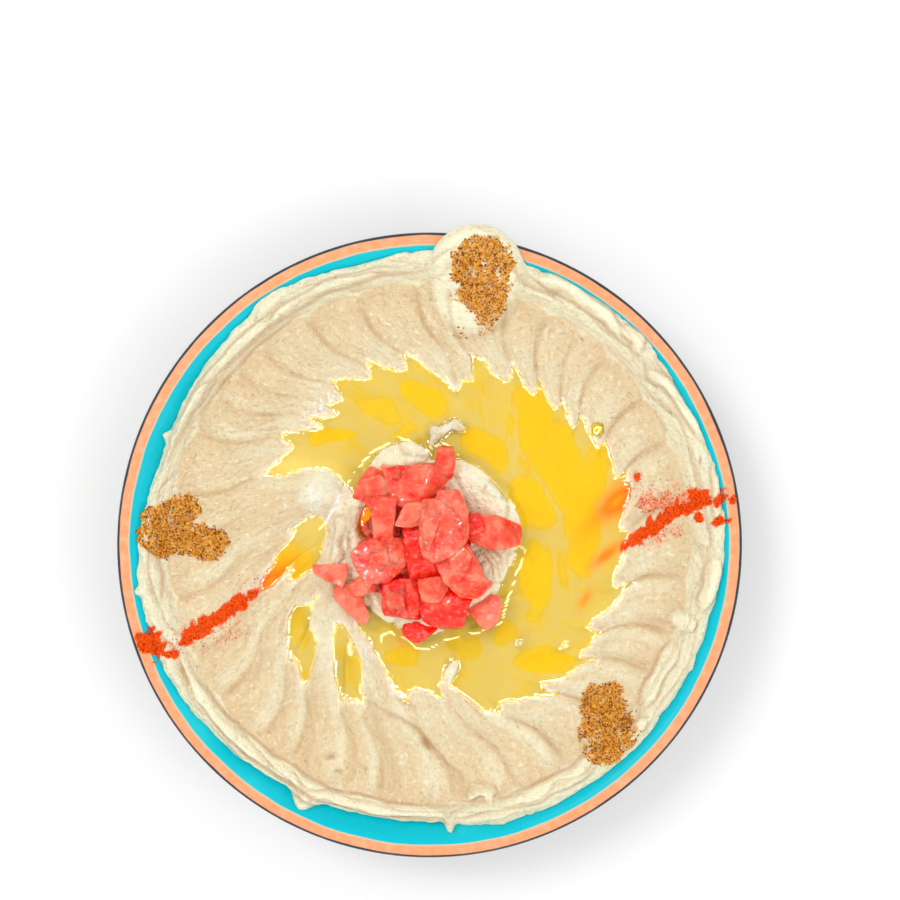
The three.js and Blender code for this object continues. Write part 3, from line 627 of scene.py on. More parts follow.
def glaze_material():
    material, tree, shader = new_material("glaze_bands")
    arc = attribute(tree, "arc")
    waver = maths(tree, "MULTIPLY_ADD", mottle(tree, 14), GLAZE_WAVER, arc)

    def past(length, soft):
        return remap(tree, waver, length - soft, length + soft)

    foot = float(bowl_arc[foot_top])
    brushed = maths(tree, "SINE", maths(tree, "MULTIPLY", waver, BRUSH_LINES))
    thin = maths(tree, "MULTIPLY_ADD", brushed, 0.5, mottle(tree, 3))
    coral = mix_colour(tree, remap(tree, thin, -0.3, 1.3), CORAL, CORAL_PALE)
    blue = mix_colour(tree, remap(tree, mottle(tree, 26), -0.1, 1.0, 0, 0.55), TURQUOISE, TURQUOISE_PALE)
    colour = mix_colour(tree, past(foot, FOOT_BLEND), CLAY, CHARCOAL)
    colour = mix_colour(tree, past(arc_on_lip(CORAL_OUTER), LINE_BLEND), colour, coral)
    colour = mix_colour(tree, past(arc_on_lip(CORAL_INNER), LINE_BLEND), colour, CREAM_LINE)
    colour = mix_colour(tree, past(arc_on_lip(CREAM_INNER), MOUTH_BLEND), colour, blue)
    rough = remap(tree, waver, foot - FOOT_BLEND, foot + FOOT_BLEND, CLAY_ROUGHNESS, GLAZE_ROUGHNESS)
    rough = maths(tree, "ADD", rough, remap(tree, mottle(tree, 3), -1, 1, 0, 0.08))
    relief = maths(tree, "MULTIPLY_ADD", mottle(tree, 1.2), 0.3, mottle(tree, 9))
    fill_sockets(tree, shader, {"Base Color": colour, "Roughness": rough, "Specular IOR Level": 0.15,
                                "Normal": bump(tree, relief, 0.05)})
    return material

# %% Turn the bowl
def make_bowl():
    data = bpy.data.meshes.new("bowl_profile")
    points = [(r * MM, 0, z * MM) for r, z in bowl_profile]
    data.from_pydata(points, [(i, i + 1) for i in range(len(points) - 1)], [])
    profile = link_object("bowl_profile", data)
    put_attribute(profile, "arc", bowl_arc)
    tree, sockets = revolve_tree()
    values = {"Profile": profile, "Steps round": BOWL_TURNS, "Material": glaze_material()}
    piece = run_tree("glazed_bowl", tree, sockets, values)
    bpy.data.objects.remove(profile)
    body = bmesh.new()
    body.from_mesh(piece.data)
    bmesh.ops.recalc_face_normals(body, faces=body.faces)
    print("open edges:", sum(edge.is_boundary for edge in body.edges))
    body.to_mesh(piece.data)
    body.free()
    return finish_piece(piece, "glazed_stoneware", "bowl")


make_bowl()

# %% [markdown]
# ## Fine relief of the spread
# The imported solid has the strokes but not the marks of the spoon's edge. Real hummus shows
# sharp creases where one stroke cuts the last, fine drag lines along each stroke, folded
# layers on the ridge by the lip, and a grain of crushed chickpea. These are added to the
# same height function, most of them under two millimetres, and sampled on a fine grid
# whose columns lean with the strokes, so that a crease is always a line of edges.

# %% Distance to a drawn line
def nearest_on_line(x, y, points):
    """Distance to a line of points, the side it lies on and how far along it is."""
    best = np.full(np.shape(x), 1e9)
    side, along = np.zeros(np.shape(x)), np.zeros(np.shape(x))
    lengths = [math.dist(a, b) for a, b in zip(points, points[1:])]
    done = 0.0
    for (ax, ay), (bx, by), length in zip(points, points[1:], lengths):
        dx, dy = (bx - ax) / length, (by - ay) / length
        t = np.clip((x - ax) * dx + (y - ay) * dy, 0, length)
        away = np.hypot(x - ax - t * dx, y - ay - t * dy)
        nearer = away < best
        best = np.where(nearer, away, best)
        side = np.where(nearer, (x - ax) * dy - (y - ay) * dx, side)
        along = np.where(nearer, (done + t) / sum(lengths), along)
        done += length
    return best, side, along


print("distance to a line:", nearest_on_line(np.array(0.0), np.array(3.0), [(-5, 0), (5, 0)])[0])

# %% Marks of the spoon
CREASE_WIDTH, CREASE_CUT = 0.06, 0.5      # share of a stroke, millimetres
DRAG_LINES, DRAG_HEIGHT = 256, 0.28        # lines round the bowl, millimetres
SCALLOP_FOOT, SCALLOP_REACH, SCALLOP_STEP = 87.8, 1.6, 0.15
RIM_LAYERS, RIM_LAYER_HEIGHT, LAYER_TOP = 2.3, 1.0, 0.84
WRINKLE_DEPTH, SHAKE_HEIGHT, GRAIN_HEIGHT = 0.9, 0.3, 0.10
UNEVEN, MOUND_LUMPS, MOUND_GRAIN = 0.35, 0.8, 0.35        # heights of random lumps
ROLL_FOOT_WIDTH, RIM_ROLL_GROWTH = 0.55, 0.4
# Rolls of hummus pushed up on the ridge: points of the middle line, half width, height.
ROLLS = [
    ([(96.5, -4), (95, -14), (91.5, -21.5)], 3.0, 1.5), ([(87, -23.5), (84.5, -28.5)], 4.0, 2.2),
    ([(84.5, -32), (78.5, -43), (71.5, -56)], 2.4, 1.1), ([(72.5, -58.5), (70, -62)], 1.8, 1.0),
    ([(33, 92), (47, 85.5), (59.5, 76.5), (67.5, 67)], 2.6, 1.2),
    ([(64, 74), (70, 69), (69, 64)], 2.2, 1.4),
    ([(73, 62), (75, 57.5), (80, 54.5), (84.5, 48), (89, 40.5), (92.5, 35)], 2.0, 1.2),
    ([(76, 63), (84, 54), (90, 44.5)], 1.2, 0.8), ([(95.5, 28), (97, 18), (96.5, 8)], 1.8, 0.8),
    ([(13, -87), (16, -83.5), (20, -84), (20.5, -88)], 2.1, 1.9),
    ([(24, -88), (37, -84), (50, -77), (60, -69)], 2.4, 1.1),
    ([(-84, -38), (-77, -51), (-66, -64), (-54.6, -73), (-44.3, -79.5), (-34.4, -85), (-14.4, -89.8),
      (5.6, -90.8), (12, -89)], 2.2, 1.4),
    ([(-74, -60), (-62, -72.5), (-50, -80.5), (-38, -87), (-14, -93.2), (6, -94)], 1.2, 0.9),
    ([(-90, 26), (-84.5, 40), (-76, 54), (-64, 67.5), (-50, 78.5), (-35, 87), (-18, 92),
      (-2, 93.5)], 1.9, 0.9),
    ([(-80, 43), (-71, 56.5), (-59, 68.5), (-45, 79)], 1.2, 0.7),
    ([(-91, -20), (-93, -6), (-92, 8)], 1.6, 0.8),
    ([(-22, 22), (-15, 28.5), (-8, 31.5), (0, 31)], 4.4, 4.6),
    ([(-1, 32), (3, 38), (8, 41), (13, 38.5)], 2.2, 3.6),
]
# Holes in the paste: x, y, half length, half width, angle, depth.
PITS = [
    (-1.1, -69.7, 2.6, 1.0, -52, 1.8), (-34, -73.3, 1.7, 0.9, 15, 1.4), (-31.5, -78, 1.3, 0.6, 0, 0.9),
    (-22, -77.3, 0.5, 0.5, 0, 0.7), (-17, -78, 0.5, 0.5, 0, 0.7), (-54, -74.5, 0.5, 0.5, 0, 0.7),
    (-28, -77, 0.5, 0.4, 0, 0.6), (-9, -55.5, 2.6, 0.8, -30, 0.8), (52, 70, 0.9, 0.4, -60, 0.5),
    (91, 28.5, 1.6, 0.35, 90, 0.7),
]
# Thin folds on the mound: points of each line.
WRINKLES = [
    [(15, 1), (17.2, -4), (20.7, -9.2), (21.4, -14.4)], [(18.9, -1.3), (24.1, -6), (24.8, -9.5)],
    [(13, 3), (19, 3.5), (25, 1)], [(19, -4), (22.5, -8), (24, -13)], [(21, 20), (25, 14), (27.5, 6)],
    [(-30.3, 10.8), (-29.3, 4.6), (-30.3, -1.3), (-27.6, -9.2)], [(-34, 12), (-33, 3), (-34, -6)],
    [(-27.2, 13.2), (-27.9, 2.8), (-26.2, -9.2), (-24, -11.6)], [(-23, -14), (-18, -20), (-16, -26)],
]
FOLD_LINE = [(-22, -53.4), (-8.7, -60.5), (-2.8, -64.5), (3.4, -72.8), (11.4, -78.7), (15.5, -84.5)]
FOLD_HEIGHT, FOLD_BACK, FOLD_FRONT = 1.6, 5.0, 0.8
RIPPLES = (-43.5, 64, 10, 4, 5)            # patch where the spoon shook


def bent(x, y, reach, size, up, across):
    """A point moved a little by smooth chance, so that drawn shapes lose their even outline."""
    return x + reach * lumps(x, y, size, 0, up), y + reach * lumps(x, y, size, across)


def stroke_number(shore_angle):
    return np.searchsorted(CREASES[:, 0], np.mod(shore_angle, 360), side="right") % len(CREASES)


def rim_layers(angle, share):
    """Slabs that overlap on the ridge by the lip, each rising slowly and ending in a step."""
    turn = np.mod(angle, 360) / 360 * LATTICE_SIZE
    phase = RIM_LAYERS * share + 1.6 * wander(turn / 8, 3.5) + 0.45 * wander(turn / 2, 9.5 + 2 * share)
    along = np.mod(phase, 1)
    return np.sqrt(along / LAYER_TOP) * (1 - smoothstep(LAYER_TOP, 1.0, along))


def rim_share(angle, r):
    """How far across the ridge a point lies, from its foot to the edge."""
    start = RIM_START - 1.5
    return np.clip((r - start) / (edge_radius(angle) - start), 0, 1)


def roll_height(x, y):
    """Rounded rolls, and the line of painted shade at each one's foot, from 0 to 1."""
    height, foot = np.zeros(np.shape(x)), np.zeros(np.shape(x))
    for points, half_width, top in ROLLS:
        away, _, along = nearest_on_line(x, y, points)
        taper = np.clip(4 * np.minimum(along, 1 - along) + 0.12, 0, 1) ** 0.5
        wide = half_width * taper * (1 + 0.25 * lumps(x, y, 5, half_width * 9))
        height = np.maximum(height, top * taper * np.sqrt(np.clip(1 - (away / wide) ** 2, 0, None)))
        foot = np.maximum(foot, taper * np.exp(-((away - wide) / ROLL_FOOT_WIDTH) ** 2))
    return height, foot


def scallop(across, r):
    """Rounded outer end of each stroke against the ridge, from 0 inside to 1 outside."""
    foot = SCALLOP_FOOT + SCALLOP_REACH * np.sin(np.pi * across) ** 0.6
    return smoothstep(foot - 0.8, foot + 0.9, r)


def arch(along, margin, power):
    """1 half way along a line, falling to nearly 0 towards its ends."""
    return np.sin(np.pi * np.clip(along, margin, 1 - margin)) ** power


def fold_height(x, y):
    """One slab of hummus pushed over its neighbour, steep on one side."""
    away, side, along = nearest_on_line(x, y, FOLD_LINE)
    reach = np.where(side > 0, FOLD_FRONT, FOLD_BACK)
    return FOLD_HEIGHT * np.exp(-(away / reach) ** 1.5) * arch(along, 0.02, 0.5)


def wrinkles(x, y):
    """Thin folds in the paste round the mound, from 0 between them to 1 in a fold."""
    bent_x, bent_y = bent(x, y, 2, 7, 33, 51)
    fold = np.clip(1 - 3.2 * np.abs(wander(bent_x / 8 + 3, bent_y / 5.5)), 0, 1) ** 1.5
    for points in WRINKLES:
        away, _, along = nearest_on_line(bent_x - 0.6, bent_y, points)
        fold = np.maximum(fold, 1.3 * np.exp(-(away / 0.75) ** 2) * arch(along, 0.04, 0.5))
    return fold


def spoon_marks(angle, r):
    """Creases between strokes, drag lines along them and the rounded end of each."""
    shore_angle = angle + lean(r)
    across, reach = stroke_at(shore_angle)
    stroked = plateau(36, 46, 79, 88, r)
    depth = CREASE_CUT * (0.75 + 0.6 * wander(stroke_number(shore_angle) * 3.7, r / 14))
    crease = np.exp(-(1 - across) / CREASE_WIDTH) + np.exp(-across / CREASE_WIDTH * 2)
    turn = np.mod(shore_angle, 360) / 360 * DRAG_LINES
    drag = wander(turn, r / 9) + 0.6 * wander(turn * 2, r / 6 + 31)
    dry = 0.15 + 0.85 * smoothstep(reach - 6, reach + 1, r)
    end = SCALLOP_STEP * (scallop(across, r) - smoothstep(83, 90, r))
    return stroked * (DRAG_HEIGHT * drag * dry - depth * smoothstep(60, 76, r) * crease) + end


def fine_height(angle, r):
    """Height with every mark of the spoon, still without the toppings."""
    wave = np.radians(angle)
    x, y = r * np.cos(wave), r * np.sin(wave)
    z = hummus_height(angle, r) + spoon_marks(angle, r)
    z = z + UNEVEN * lumps(x, y, 9) * plateau(20, 50, 88, 94, r)
    share = rim_share(angle, r)
    z = z + RIM_LAYER_HEIGHT * (rim_layers(angle, share) - 0.6) * np.sin(np.pi * share) ** 1.6
    mound = np.exp(-((r - CRATER_RADIUS) / 7) ** 2)
    z = z + mound * (MOUND_LUMPS * lumps(x, y, 6.5, 20) + MOUND_GRAIN * lumps(x, y, 2.7, 0, 40))
    z = z - WRINKLE_DEPTH * wrinkles(x, y) * (1 - smoothstep(30, 42, r)) - swell(x, y, PITS)
    z = z + swell(x, y, PEAKS) * (1 + 0.5 * lumps(x, y, 1.1))
    z = z + fold_height(x, y) + roll_height(x, y)[0] * (1 + RIM_ROLL_GROWTH * smoothstep(84, 87, r))
    shake = SHAKE_HEIGHT * np.exp(-ellipse(x, y, RIPPLES))
    z = z + shake * np.sin(1.9 * x + 1.1 * y + 0.08 * (x + 43) ** 2)
    return z + GRAIN_HEIGHT * (lumps(x, y, 1.3, 0, 60) + lumps(x, y, 2.6, 30))


print("drag line pitch at the shore:", round(math.tau * SHORE / DRAG_LINES, 2), "mm")

# %% Grid of the spread
COLUMNS_PER_DEGREE = 1.62
ROW_STEPS = [(0.8, 20, 1.2), (20, 34, 0.7), (34, 72, 0.68), (72, 86, 0.72)]
RIM_ROWS = 32


def shore_angles():
    """Columns of the grid, the same for every stroke, crowded towards its sharp side."""
    angles = []
    for upper, lower in zip(CREASES[:, 0], np.roll(CREASES[:, 0], 1)):
        width = (upper - lower) % 360
        count = max(6, round(width * COLUMNS_PER_DEGREE))
        angles.extend(upper - width * (np.arange(count) / count) ** 0.92)
    return np.sort(np.mod(angles, 360))


SHORE_ANGLES = shore_angles()


def surface_grid():
    """Angles and radii of the top surface, one row after another."""
    radii = [r for start, end, step in ROW_STEPS for r in np.arange(start, end, step)]
    rows = [np.full(len(SHORE_ANGLES), r) for r in radii]
    angles = [SHORE_ANGLES - lean(row) for row in rows]
    start = ROW_STEPS[-1][1]
    for share in np.linspace(0, 1, RIM_ROWS):
        angle = SHORE_ANGLES - lean(np.full(len(SHORE_ANGLES), 90.0))
        for _ in range(4):
            row = start + (edge_radius(angle) - start) * share
            angle = SHORE_ANGLES - lean(row)
        rows.append(row)
        angles.append(angle)
    return np.array(angles), np.array(rows)


GRID_ANGLE, GRID_RADIUS = surface_grid()
GRID_X = GRID_RADIUS * np.cos(np.radians(GRID_ANGLE))
GRID_Y = GRID_RADIUS * np.sin(np.radians(GRID_ANGLE))
print("grid:", GRID_RADIUS.shape)

# %% [markdown]
# ## Oil
# Olive oil finds its own level: it fills the furrows up to one flat surface and stops where
# the hummus rises through it. So each body of oil is cut from the spread's own grid. Every
# triangle under the level becomes bed, the same triangle at the level becomes the lid, and
# the two meet along the shore. Where oil meets hummus it ends in a small round bead, and
# that bead mirrors the glint lights in a bright broken line round the pool; white glints
# painted on the paste beside and under the shore add to that line. The bead is relief in the
# material, driven by each point's distance to the shore.

# %% Heights of the grid and the oil that lies on it
GRID_Z = fine_height(GRID_ANGLE, GRID_RADIUS)
ROWS, COLUMNS = GRID_Z.shape
OIL_SINK = 0.2              # the bed lies a little under the paste, so no air shows between them


def pocket_level(pocket):
    """Level of the oil in a pocket that stands alone, a half pocket under its brim."""
    x, y, depth = pocket[0], pocket[1], pocket[5]
    return height_at(hummus_height, x, y) + depth * (1 - PUDDLE_FILL)


def largest_patch(wet):
    """The largest connected part of a mask on the grid, which closes on itself sideways."""
    label = np.zeros(wet.shape, dtype=int)
    best, best_size, number = 0, 0, 0
    for start in zip(*np.where(wet)):
        if label[start]:
            continue
        number += 1
        label[start] = number
        queue = [start]
        for i, j in queue:
            for di, dj in ((1, 0), (-1, 0), (0, 1), (0, -1)):
                spot = (i + di, (j + dj) % COLUMNS)
                if 0 <= spot[0] < ROWS and wet[spot] and not label[spot]:
                    label[spot] = number
                    queue.append(spot)
        if len(queue) > best_size:
            best, best_size = number, len(queue)
    return label == best


def oil_sheet(level, allowed):
    """Vertices, faces and shore flags of a closed sheet of oil, with the cells that it wets."""
    bed = GRID_Z
    wet = largest_patch((bed < level) & allowed)
    vertices, faces, on_lid, shore, known = [], [], [], [], {}

    def vertex(key, x, y, z, lid, at_shore):
        if key not in known:
            known[key] = len(vertices)
            vertices.append((x, y, z))
            on_lid.append(lid)
            shore.append(at_shore)
        return known[key]

    def corner(spot, lid):
        z = level if lid else bed[spot] - OIL_SINK
        return vertex((spot, lid), GRID_X[spot], GRID_Y[spot], z, lid, False)

    def crossing(a, b):
        a, b = min(a, b), max(a, b)
        t = float(np.clip((level - bed[a]) / (bed[b] - bed[a] + 1e-9), 0.04, 0.96))
        x, y = (axis[a] + t * (axis[b] - axis[a]) for axis in (GRID_X, GRID_Y))
        return vertex((a, b), x, y, level, True, True)

    near = wet | np.roll(wet, 1, 1) | np.roll(wet, -1, 1)
    near[:-1] |= near[1:] | wet[1:]
    near[1:] |= near[:-1]
    for i, j in zip(*np.where(near[:-1])):
        k = (j + 1) % COLUMNS
        for triangle in (((i, j), (i + 1, j), (i + 1, k)), ((i, j), (i + 1, k), (i, k))):
            under = [wet[spot] for spot in triangle]
            if not any(under):
                continue
            lid, base = [], []
            for n, spot in enumerate(triangle):
                after = triangle[(n + 1) % 3]
                if under[n]:
                    lid.append(corner(spot, True))
                    base.append(corner(spot, False))
                if under[n] != wet[after]:
                    lid.append(crossing(spot, after))
                    base.append(lid[-1])
            faces.append(tuple(lid))
            faces.append(tuple(reversed(base)))
    return np.array(vertices), faces, np.array(on_lid), np.array(shore), wet


POOL_MARGIN, POOL_EDGE, PUDDLE_MARGIN = 1.6, 86, 4


def outside_pockets():
    """Cells that the main pool may wet: those outside the pockets and inside the ridge."""
    outside = [ellipse(GRID_X, GRID_Y, pocket) > POOL_MARGIN for pocket in PUDDLES.values()]
    return np.all(outside, axis=0) & (GRID_RADIUS < POOL_EDGE)


OIL = {"oil_pool": (OIL_LEVEL, outside_pockets())}
for name, pocket in PUDDLES.items():
    OIL[name] = (pocket_level(pocket), ellipse(GRID_X, GRID_Y, pocket) < PUDDLE_MARGIN)
OIL_SHEETS = {name: oil_sheet(*setting) for name, setting in OIL.items()}
for name, sheet in OIL_SHEETS.items():
    print(name, "level:", round(OIL[name][0], 2), "faces:", len(sheet[1]))

# %% Distance to the shore
def shore_tree():
    """Search tree over points along every shore."""
    spots = np.concatenate([sheet[0][sheet[3]] for sheet in OIL_SHEETS.values()])
    tree = kdtree.KDTree(len(spots))
    for index, spot in enumerate(spots):
        tree.insert((spot[0], spot[1], 0), index)
    tree.balance()
    return tree


SHORE_TREE = shore_tree()


def shore_distance(x, y):
    """Distance from each of some points to the nearest shore."""
    flat = [SHORE_TREE.find((a, b, 0))[2] for a, b in zip(np.ravel(x), np.ravel(y))]
    return np.array(flat).reshape(np.shape(x))


DROP = dict(x=58, y=39.1, radius=2.0, height=0.9)
SHORE_OF_GRID = GRID_ANGLE + lean(GRID_RADIUS)
DEPTH = 1.0 * (np.hypot(GRID_X - DROP["x"], GRID_Y - DROP["y"]) < DROP["radius"] + 0.2)
for name, sheet in OIL_SHEETS.items():
    DEPTH = np.where(sheet[4], OIL[name][0] - GRID_Z, DEPTH)
SHORE_AWAY = shore_distance(GRID_X, GRID_Y)
WETNESS = np.where(DEPTH > 0, 1.0, np.exp(-(SHORE_AWAY / 2.2) ** 1.5))
print("deepest oil:", round(float(DEPTH.max()), 2), "mm")

# %% Painted glints along the shore
# Painted white glints on the wet paste beside the oil: x, y, half length, half width, angle, strength.
PAINTED_GLINT_PATCHES = [
    (3, 40.5, 5, 2.5, 30, 0.9), (-40, 15.5, 3, 5, 0, 1.1), (-38, 47.5, 8.5, 3, 48, 1),
    (8, -41, 4, 5, 0, 0.6), (-20, -37, 6, 4, 0, 0.8),
]
# Broken lines of painted highlight where the oil's skin climbs the foot of the mound: points of each line.
GLINT_LINES = [
    [(-33, 12.5), (-27.3, 22), (-20.4, 32), (-11.4, 36.2), (-6.2, 35.5), (-4.5, 32), (-5.6, 29.7),
     (0, 31.7)],
    [(0, 31.7), (4.2, 34.8), (7.6, 33.8), (10.3, 30.4)],
    [(-34.2, 21.7), (-31.8, 14.8), (-34.6, 9.6), (-38.5, 4)],
    [(10.7, 26.2), (17.9, 20.3), (27.6, 12.4), (30, 6), (30, 0.3), (32.5, -2.5), (29.7, -12.8),
     (24.9, -27.4)],
    [(24.9, -27.4), (19, -30.8), (6.9, -33.6), (-1.8, -37), (-5.2, -37), (-13.2, -30.8), (-17, -32.5),
     (-18.3, -38.8)],
]
GLINT_WAVER, GLINT_WIDTH, GLINT_STRENGTH = 0.9, 0.38, 3.5
SHORE_GLINT_STRENGTH, SHORE_GLINT_WIDTH = 0.95, 0.8

# A band of painted glints runs along every shore on its dry side.
shore_glints = SHORE_GLINT_STRENGTH * np.exp(-(SHORE_AWAY / SHORE_GLINT_WIDTH) ** 2)
PAINTED_GLINTS = np.where(DEPTH > 0, 0.0, np.maximum(swell(GRID_X, GRID_Y, PAINTED_GLINT_PATCHES), shore_glints))
bent_x = GRID_X + GLINT_WAVER * lumps(GRID_X, GRID_Y, 4)
bent_y = GRID_Y + GLINT_WAVER * lumps(GRID_Y, GRID_X, 4)
dashes = GLINT_STRENGTH * smoothstep(-0.6, -0.2, lumps(GRID_X, GRID_Y, 1.6, 30))
for line in GLINT_LINES:
    away = nearest_on_line(bent_x, bent_y, line)[0]
    PAINTED_GLINTS = np.maximum(PAINTED_GLINTS, dashes * np.exp(-(away / GLINT_WIDTH) ** 2))
print("froth covers", round(float((PAINTED_GLINTS > 0.5).mean()) * 100, 1), "% of the grid")

# %% Oil material
BEAD_WIDTH, BEAD_HEIGHT, OIL_WAVES = 1.6, 0.52, 0.05
OIL_LOOK = {"Base Color": (1.0, 0.90, 0.42, 1), "Roughness": 0.03, "IOR": 1.47, "Transmission Weight": 1.0}
OIL_SHADOW = (0.40, 0.38, 0.28, 1)


def oil_material():
    """Clear oil that is round at its shore and lets light through to what lies under it."""
    material, tree, shader = new_material("olive_oil")
    uneven = remap(tree, mottle(tree, 1.6, 1.0), -1, 1, 0.7, 1.5)
    away = maths(tree, "MULTIPLY", attribute(tree, "shore"), uneven)
    rest = maths(tree, "SUBTRACT", 1.0, maths(tree, "DIVIDE", away, BEAD_WIDTH, clamp=True))
    bead = maths(tree, "SQRT", maths(tree, "SUBTRACT", 1.0, maths(tree, "MULTIPLY", rest, rest)))
    waves = maths(tree, "MULTIPLY_ADD", mottle(tree, 9, 1.0), OIL_WAVES, bead)
    fill_sockets(tree, shader, {**OIL_LOOK, "Normal": bump(tree, waves, BEAD_HEIGHT)})
    clear = add_node(tree, "ShaderNodeBsdfTransparent", {"Color": OIL_SHADOW})
    in_shadow = tree.nodes.new("ShaderNodeLightPath").outputs["Is Shadow Ray"]
    both = add_node(tree, "ShaderNodeMixShader", {0: in_shadow, 1: shader.outputs[0], 2: clear.outputs[0]})
    fill_sockets(tree, tree.nodes["Material Output"], {"Surface": both.outputs[0]})
    return material


OIL_MATERIAL = oil_material()

# %% Bodies of oil
for name, (points, faces, on_lid, at_shore, _) in OIL_SHEETS.items():
    away = np.where(on_lid & ~at_shore, shore_distance(points[:, 0], points[:, 1]), 0)
    body = new_object(name.replace("oil", "olive_oil"), points, faces, OIL_MATERIAL)
    put_attribute(body, "shore", away)
    finish_piece(body, "olive_oil", name)
    OIL_BODIES.objects.link(body)

# %% A drop that fell outside the pool
def make_drop():
    """A low round dome of oil on the spread."""
    rings, turns, (x, y) = 10, 28, (DROP["x"], DROP["y"])
    seat = height_at(fine_height, x, y) + 0.05
    points = [(x, y, seat + DROP["height"])]
    for ring in range(1, rings + 1):
        tilt = math.pi / 2 * ring / rings
        for a in np.arange(turns) * math.tau / turns:
            r = DROP["radius"] * math.sin(tilt) * (1 + 0.12 * math.sin(2 * a) + 0.06 * math.sin(3 * a))
            points.append((x + r * math.cos(a), y + r * math.sin(a), seat + DROP["height"] * math.cos(tilt)))
    points.append((x, y, seat - OIL_SINK))
    drop = new_object("olive_oil_drop", points, ring_faces(rings, turns), OIL_MATERIAL)
    put_attribute(drop, "shore", [BEAD_WIDTH] * len(points))
    OIL_BODIES.objects.link(drop)
    return finish_piece(drop, "olive_oil", "oil_drop")


make_drop()

# %% [markdown]
# ## Spread hummus
# The grid becomes one closed body that also follows the bowl underneath. What colours it is
# kept as numbers on its points: how much pale cream shows, mostly painted light, where painted
# shade lies in creases and pits, where white glints are painted by the oil, how deep the oil
# above is and where spice has bled. The material only turns those numbers into colour.
# Hummus lets light in a little, so it has a weak subsurface.

# %% Where the spices lie
CUMIN_PATCHES = [           # x, y, half length, half width, angle, strength
    (17.4, 94.3, 10.9, 9.8, 0, 1.0), (18.4, 86.0, 9.2, 8.4, 0, 1.0), (20.4, 79.6, 5.8, 4.6, 60, 0.5),
    (19.3, 75.2, 4.8, 4.2, 90, 0.10), (11, 72, 5, 2.5, 0, 0.03), (8.5, 84, 2, 2, 0, 0.04),
    (-89.0, 4.9, 9.8, 9.4, 0, 1.0), (-85.0, 11.6, 6.4, 4.8, 0, 0.8), (-77.4, 0.2, 8.4, 6.2, -8, 1.0),
    (59.4, -56.2, 8.8, 8.0, 60, 1.0), (60.8, -63.0, 9.6, 8.2, 20, 1.0), (58.4, -70.2, 6.2, 4.4, 0, 0.8),
]
PAPRIKA_STROKES = [         # points, half width, strength
    ([(-96.8, -33.4), (-92.4, -33.8)], 4.4, 1.0), ([(-88.6, -36.8), (-86.0, -36.8)], 1.2, 0.9),
    ([(-82.2, -31.2), (-74.0, -26.4), (-65.4, -20.8)], 2.7, 1.0),
    ([(-62.2, -18.8), (-60.8, -17.6)], 1.3, 0.9), ([(-84, -33), (-68, -30)], 5.5, 0.05),
    ([(-64, -15), (-60, -14)], 4.0, 0.06),
    ([(91.8, 15.8), (91.2, 15.4)], 2.9, 1.0), ([(97.9, 16.2), (97.5, 15.6)], 2.4, 0.95),
    ([(102.0, 15.4), (101.5, 15.2)], 1.5, 0.9), ([(91.6, 8.6), (90.4, 10.4)], 1.1, 0.9),
    ([(97.6, 8.2), (96.2, 8.0)], 1.4, 0.9), ([(100.7, 8.1), (99.8, 8.1)], 0.9, 0.8),
    ([(89.0, 13.4), (83, 10.2), (77, 5.8)], 2.4, 1.0), ([(77, 5.8), (72, 1.6)], 2.0, 0.95),
    ([(71.4, 1.0), (67.5, -1.6)], 1.4, 0.7), ([(71.6, 23.2), (71.9, 22.8)], 1.5, 0.9),
    ([(87, 15), (74, 14)], 3.4, 0.20),
    ([(84, 4.5), (77, 1)], 3.0, 0.12), ([(86, 17), (72, 19)], 5.0, 0.04),
]


def thickest(x, y, patches, full, end, ragged=0):
    """The strongest of some patches at each point: whole inside `full`, gone outside `end`."""
    shares = [patch[5] * (1 - smoothstep(full, end, ellipse(x, y, patch) + ragged)) for patch in patches]
    return np.max(shares, axis=0)


def cumin_cover(x, y):
    """How thickly cumin lies, from 0 to 1, with a ragged margin."""
    ragged = 0.28 * lumps(x, y, 2.3, 0, 80) + 0.18 * lumps(x, y, 1.1, 40)
    gaps = 1 - 0.75 * smoothstep(0.25, 0.7, wander(x / 1.7 + 13, y / 2.3))
    return gaps * thickest(x, y, CUMIN_PATCHES, 0.62, 1.12, ragged)


def paprika_cover(x, y, spread=1.0):
    """How thickly paprika lies, from 0 to 1, drawn out in pinched lines."""
    cover = np.zeros(np.shape(x))
    ragged = 0.42 * lumps(x, y, 2.1, 9) + 0.32 * lumps(x, y, 0.9, 0, 70)
    for points, half_width, strength in PAPRIKA_STROKES:
        away = nearest_on_line(x, y, points)[0] / (half_width * spread)
        cover = np.maximum(cover, strength * (1 - smoothstep(0.55, 1.15, away + ragged)))
    return cover


# Oil reddened by tomato and paprika: x, y, half length, half width, angle, strength. Above 1 the stain turns
# a brighter orange, which in the pocket beside the dice is painted light against their shade.
STAINS = [
    (-50, -10, 7, 4, 57, 0.4), (-56.5, -15, 6.5, 3.6, 52, 1.3), (-22.3, 7.9, 7, 3.6, 95, 2),
    (66, 14.5, 9, 4.2, 42, 1.3), (61.5, -4.4, 6.5, 2, 38, 1.1), (-9, -34, 5, 3, 0, 0.35),
    (54, -20, 3.4, 1.6, 60, 0.8), (56, 6, 10, 3, 50, 0.25), (-4, -8, 11, 11, 0, 1),
    (-12, 17, 9, 5, 0, 0.9), (4, 6, 6, 7, 0, 0.8),
]
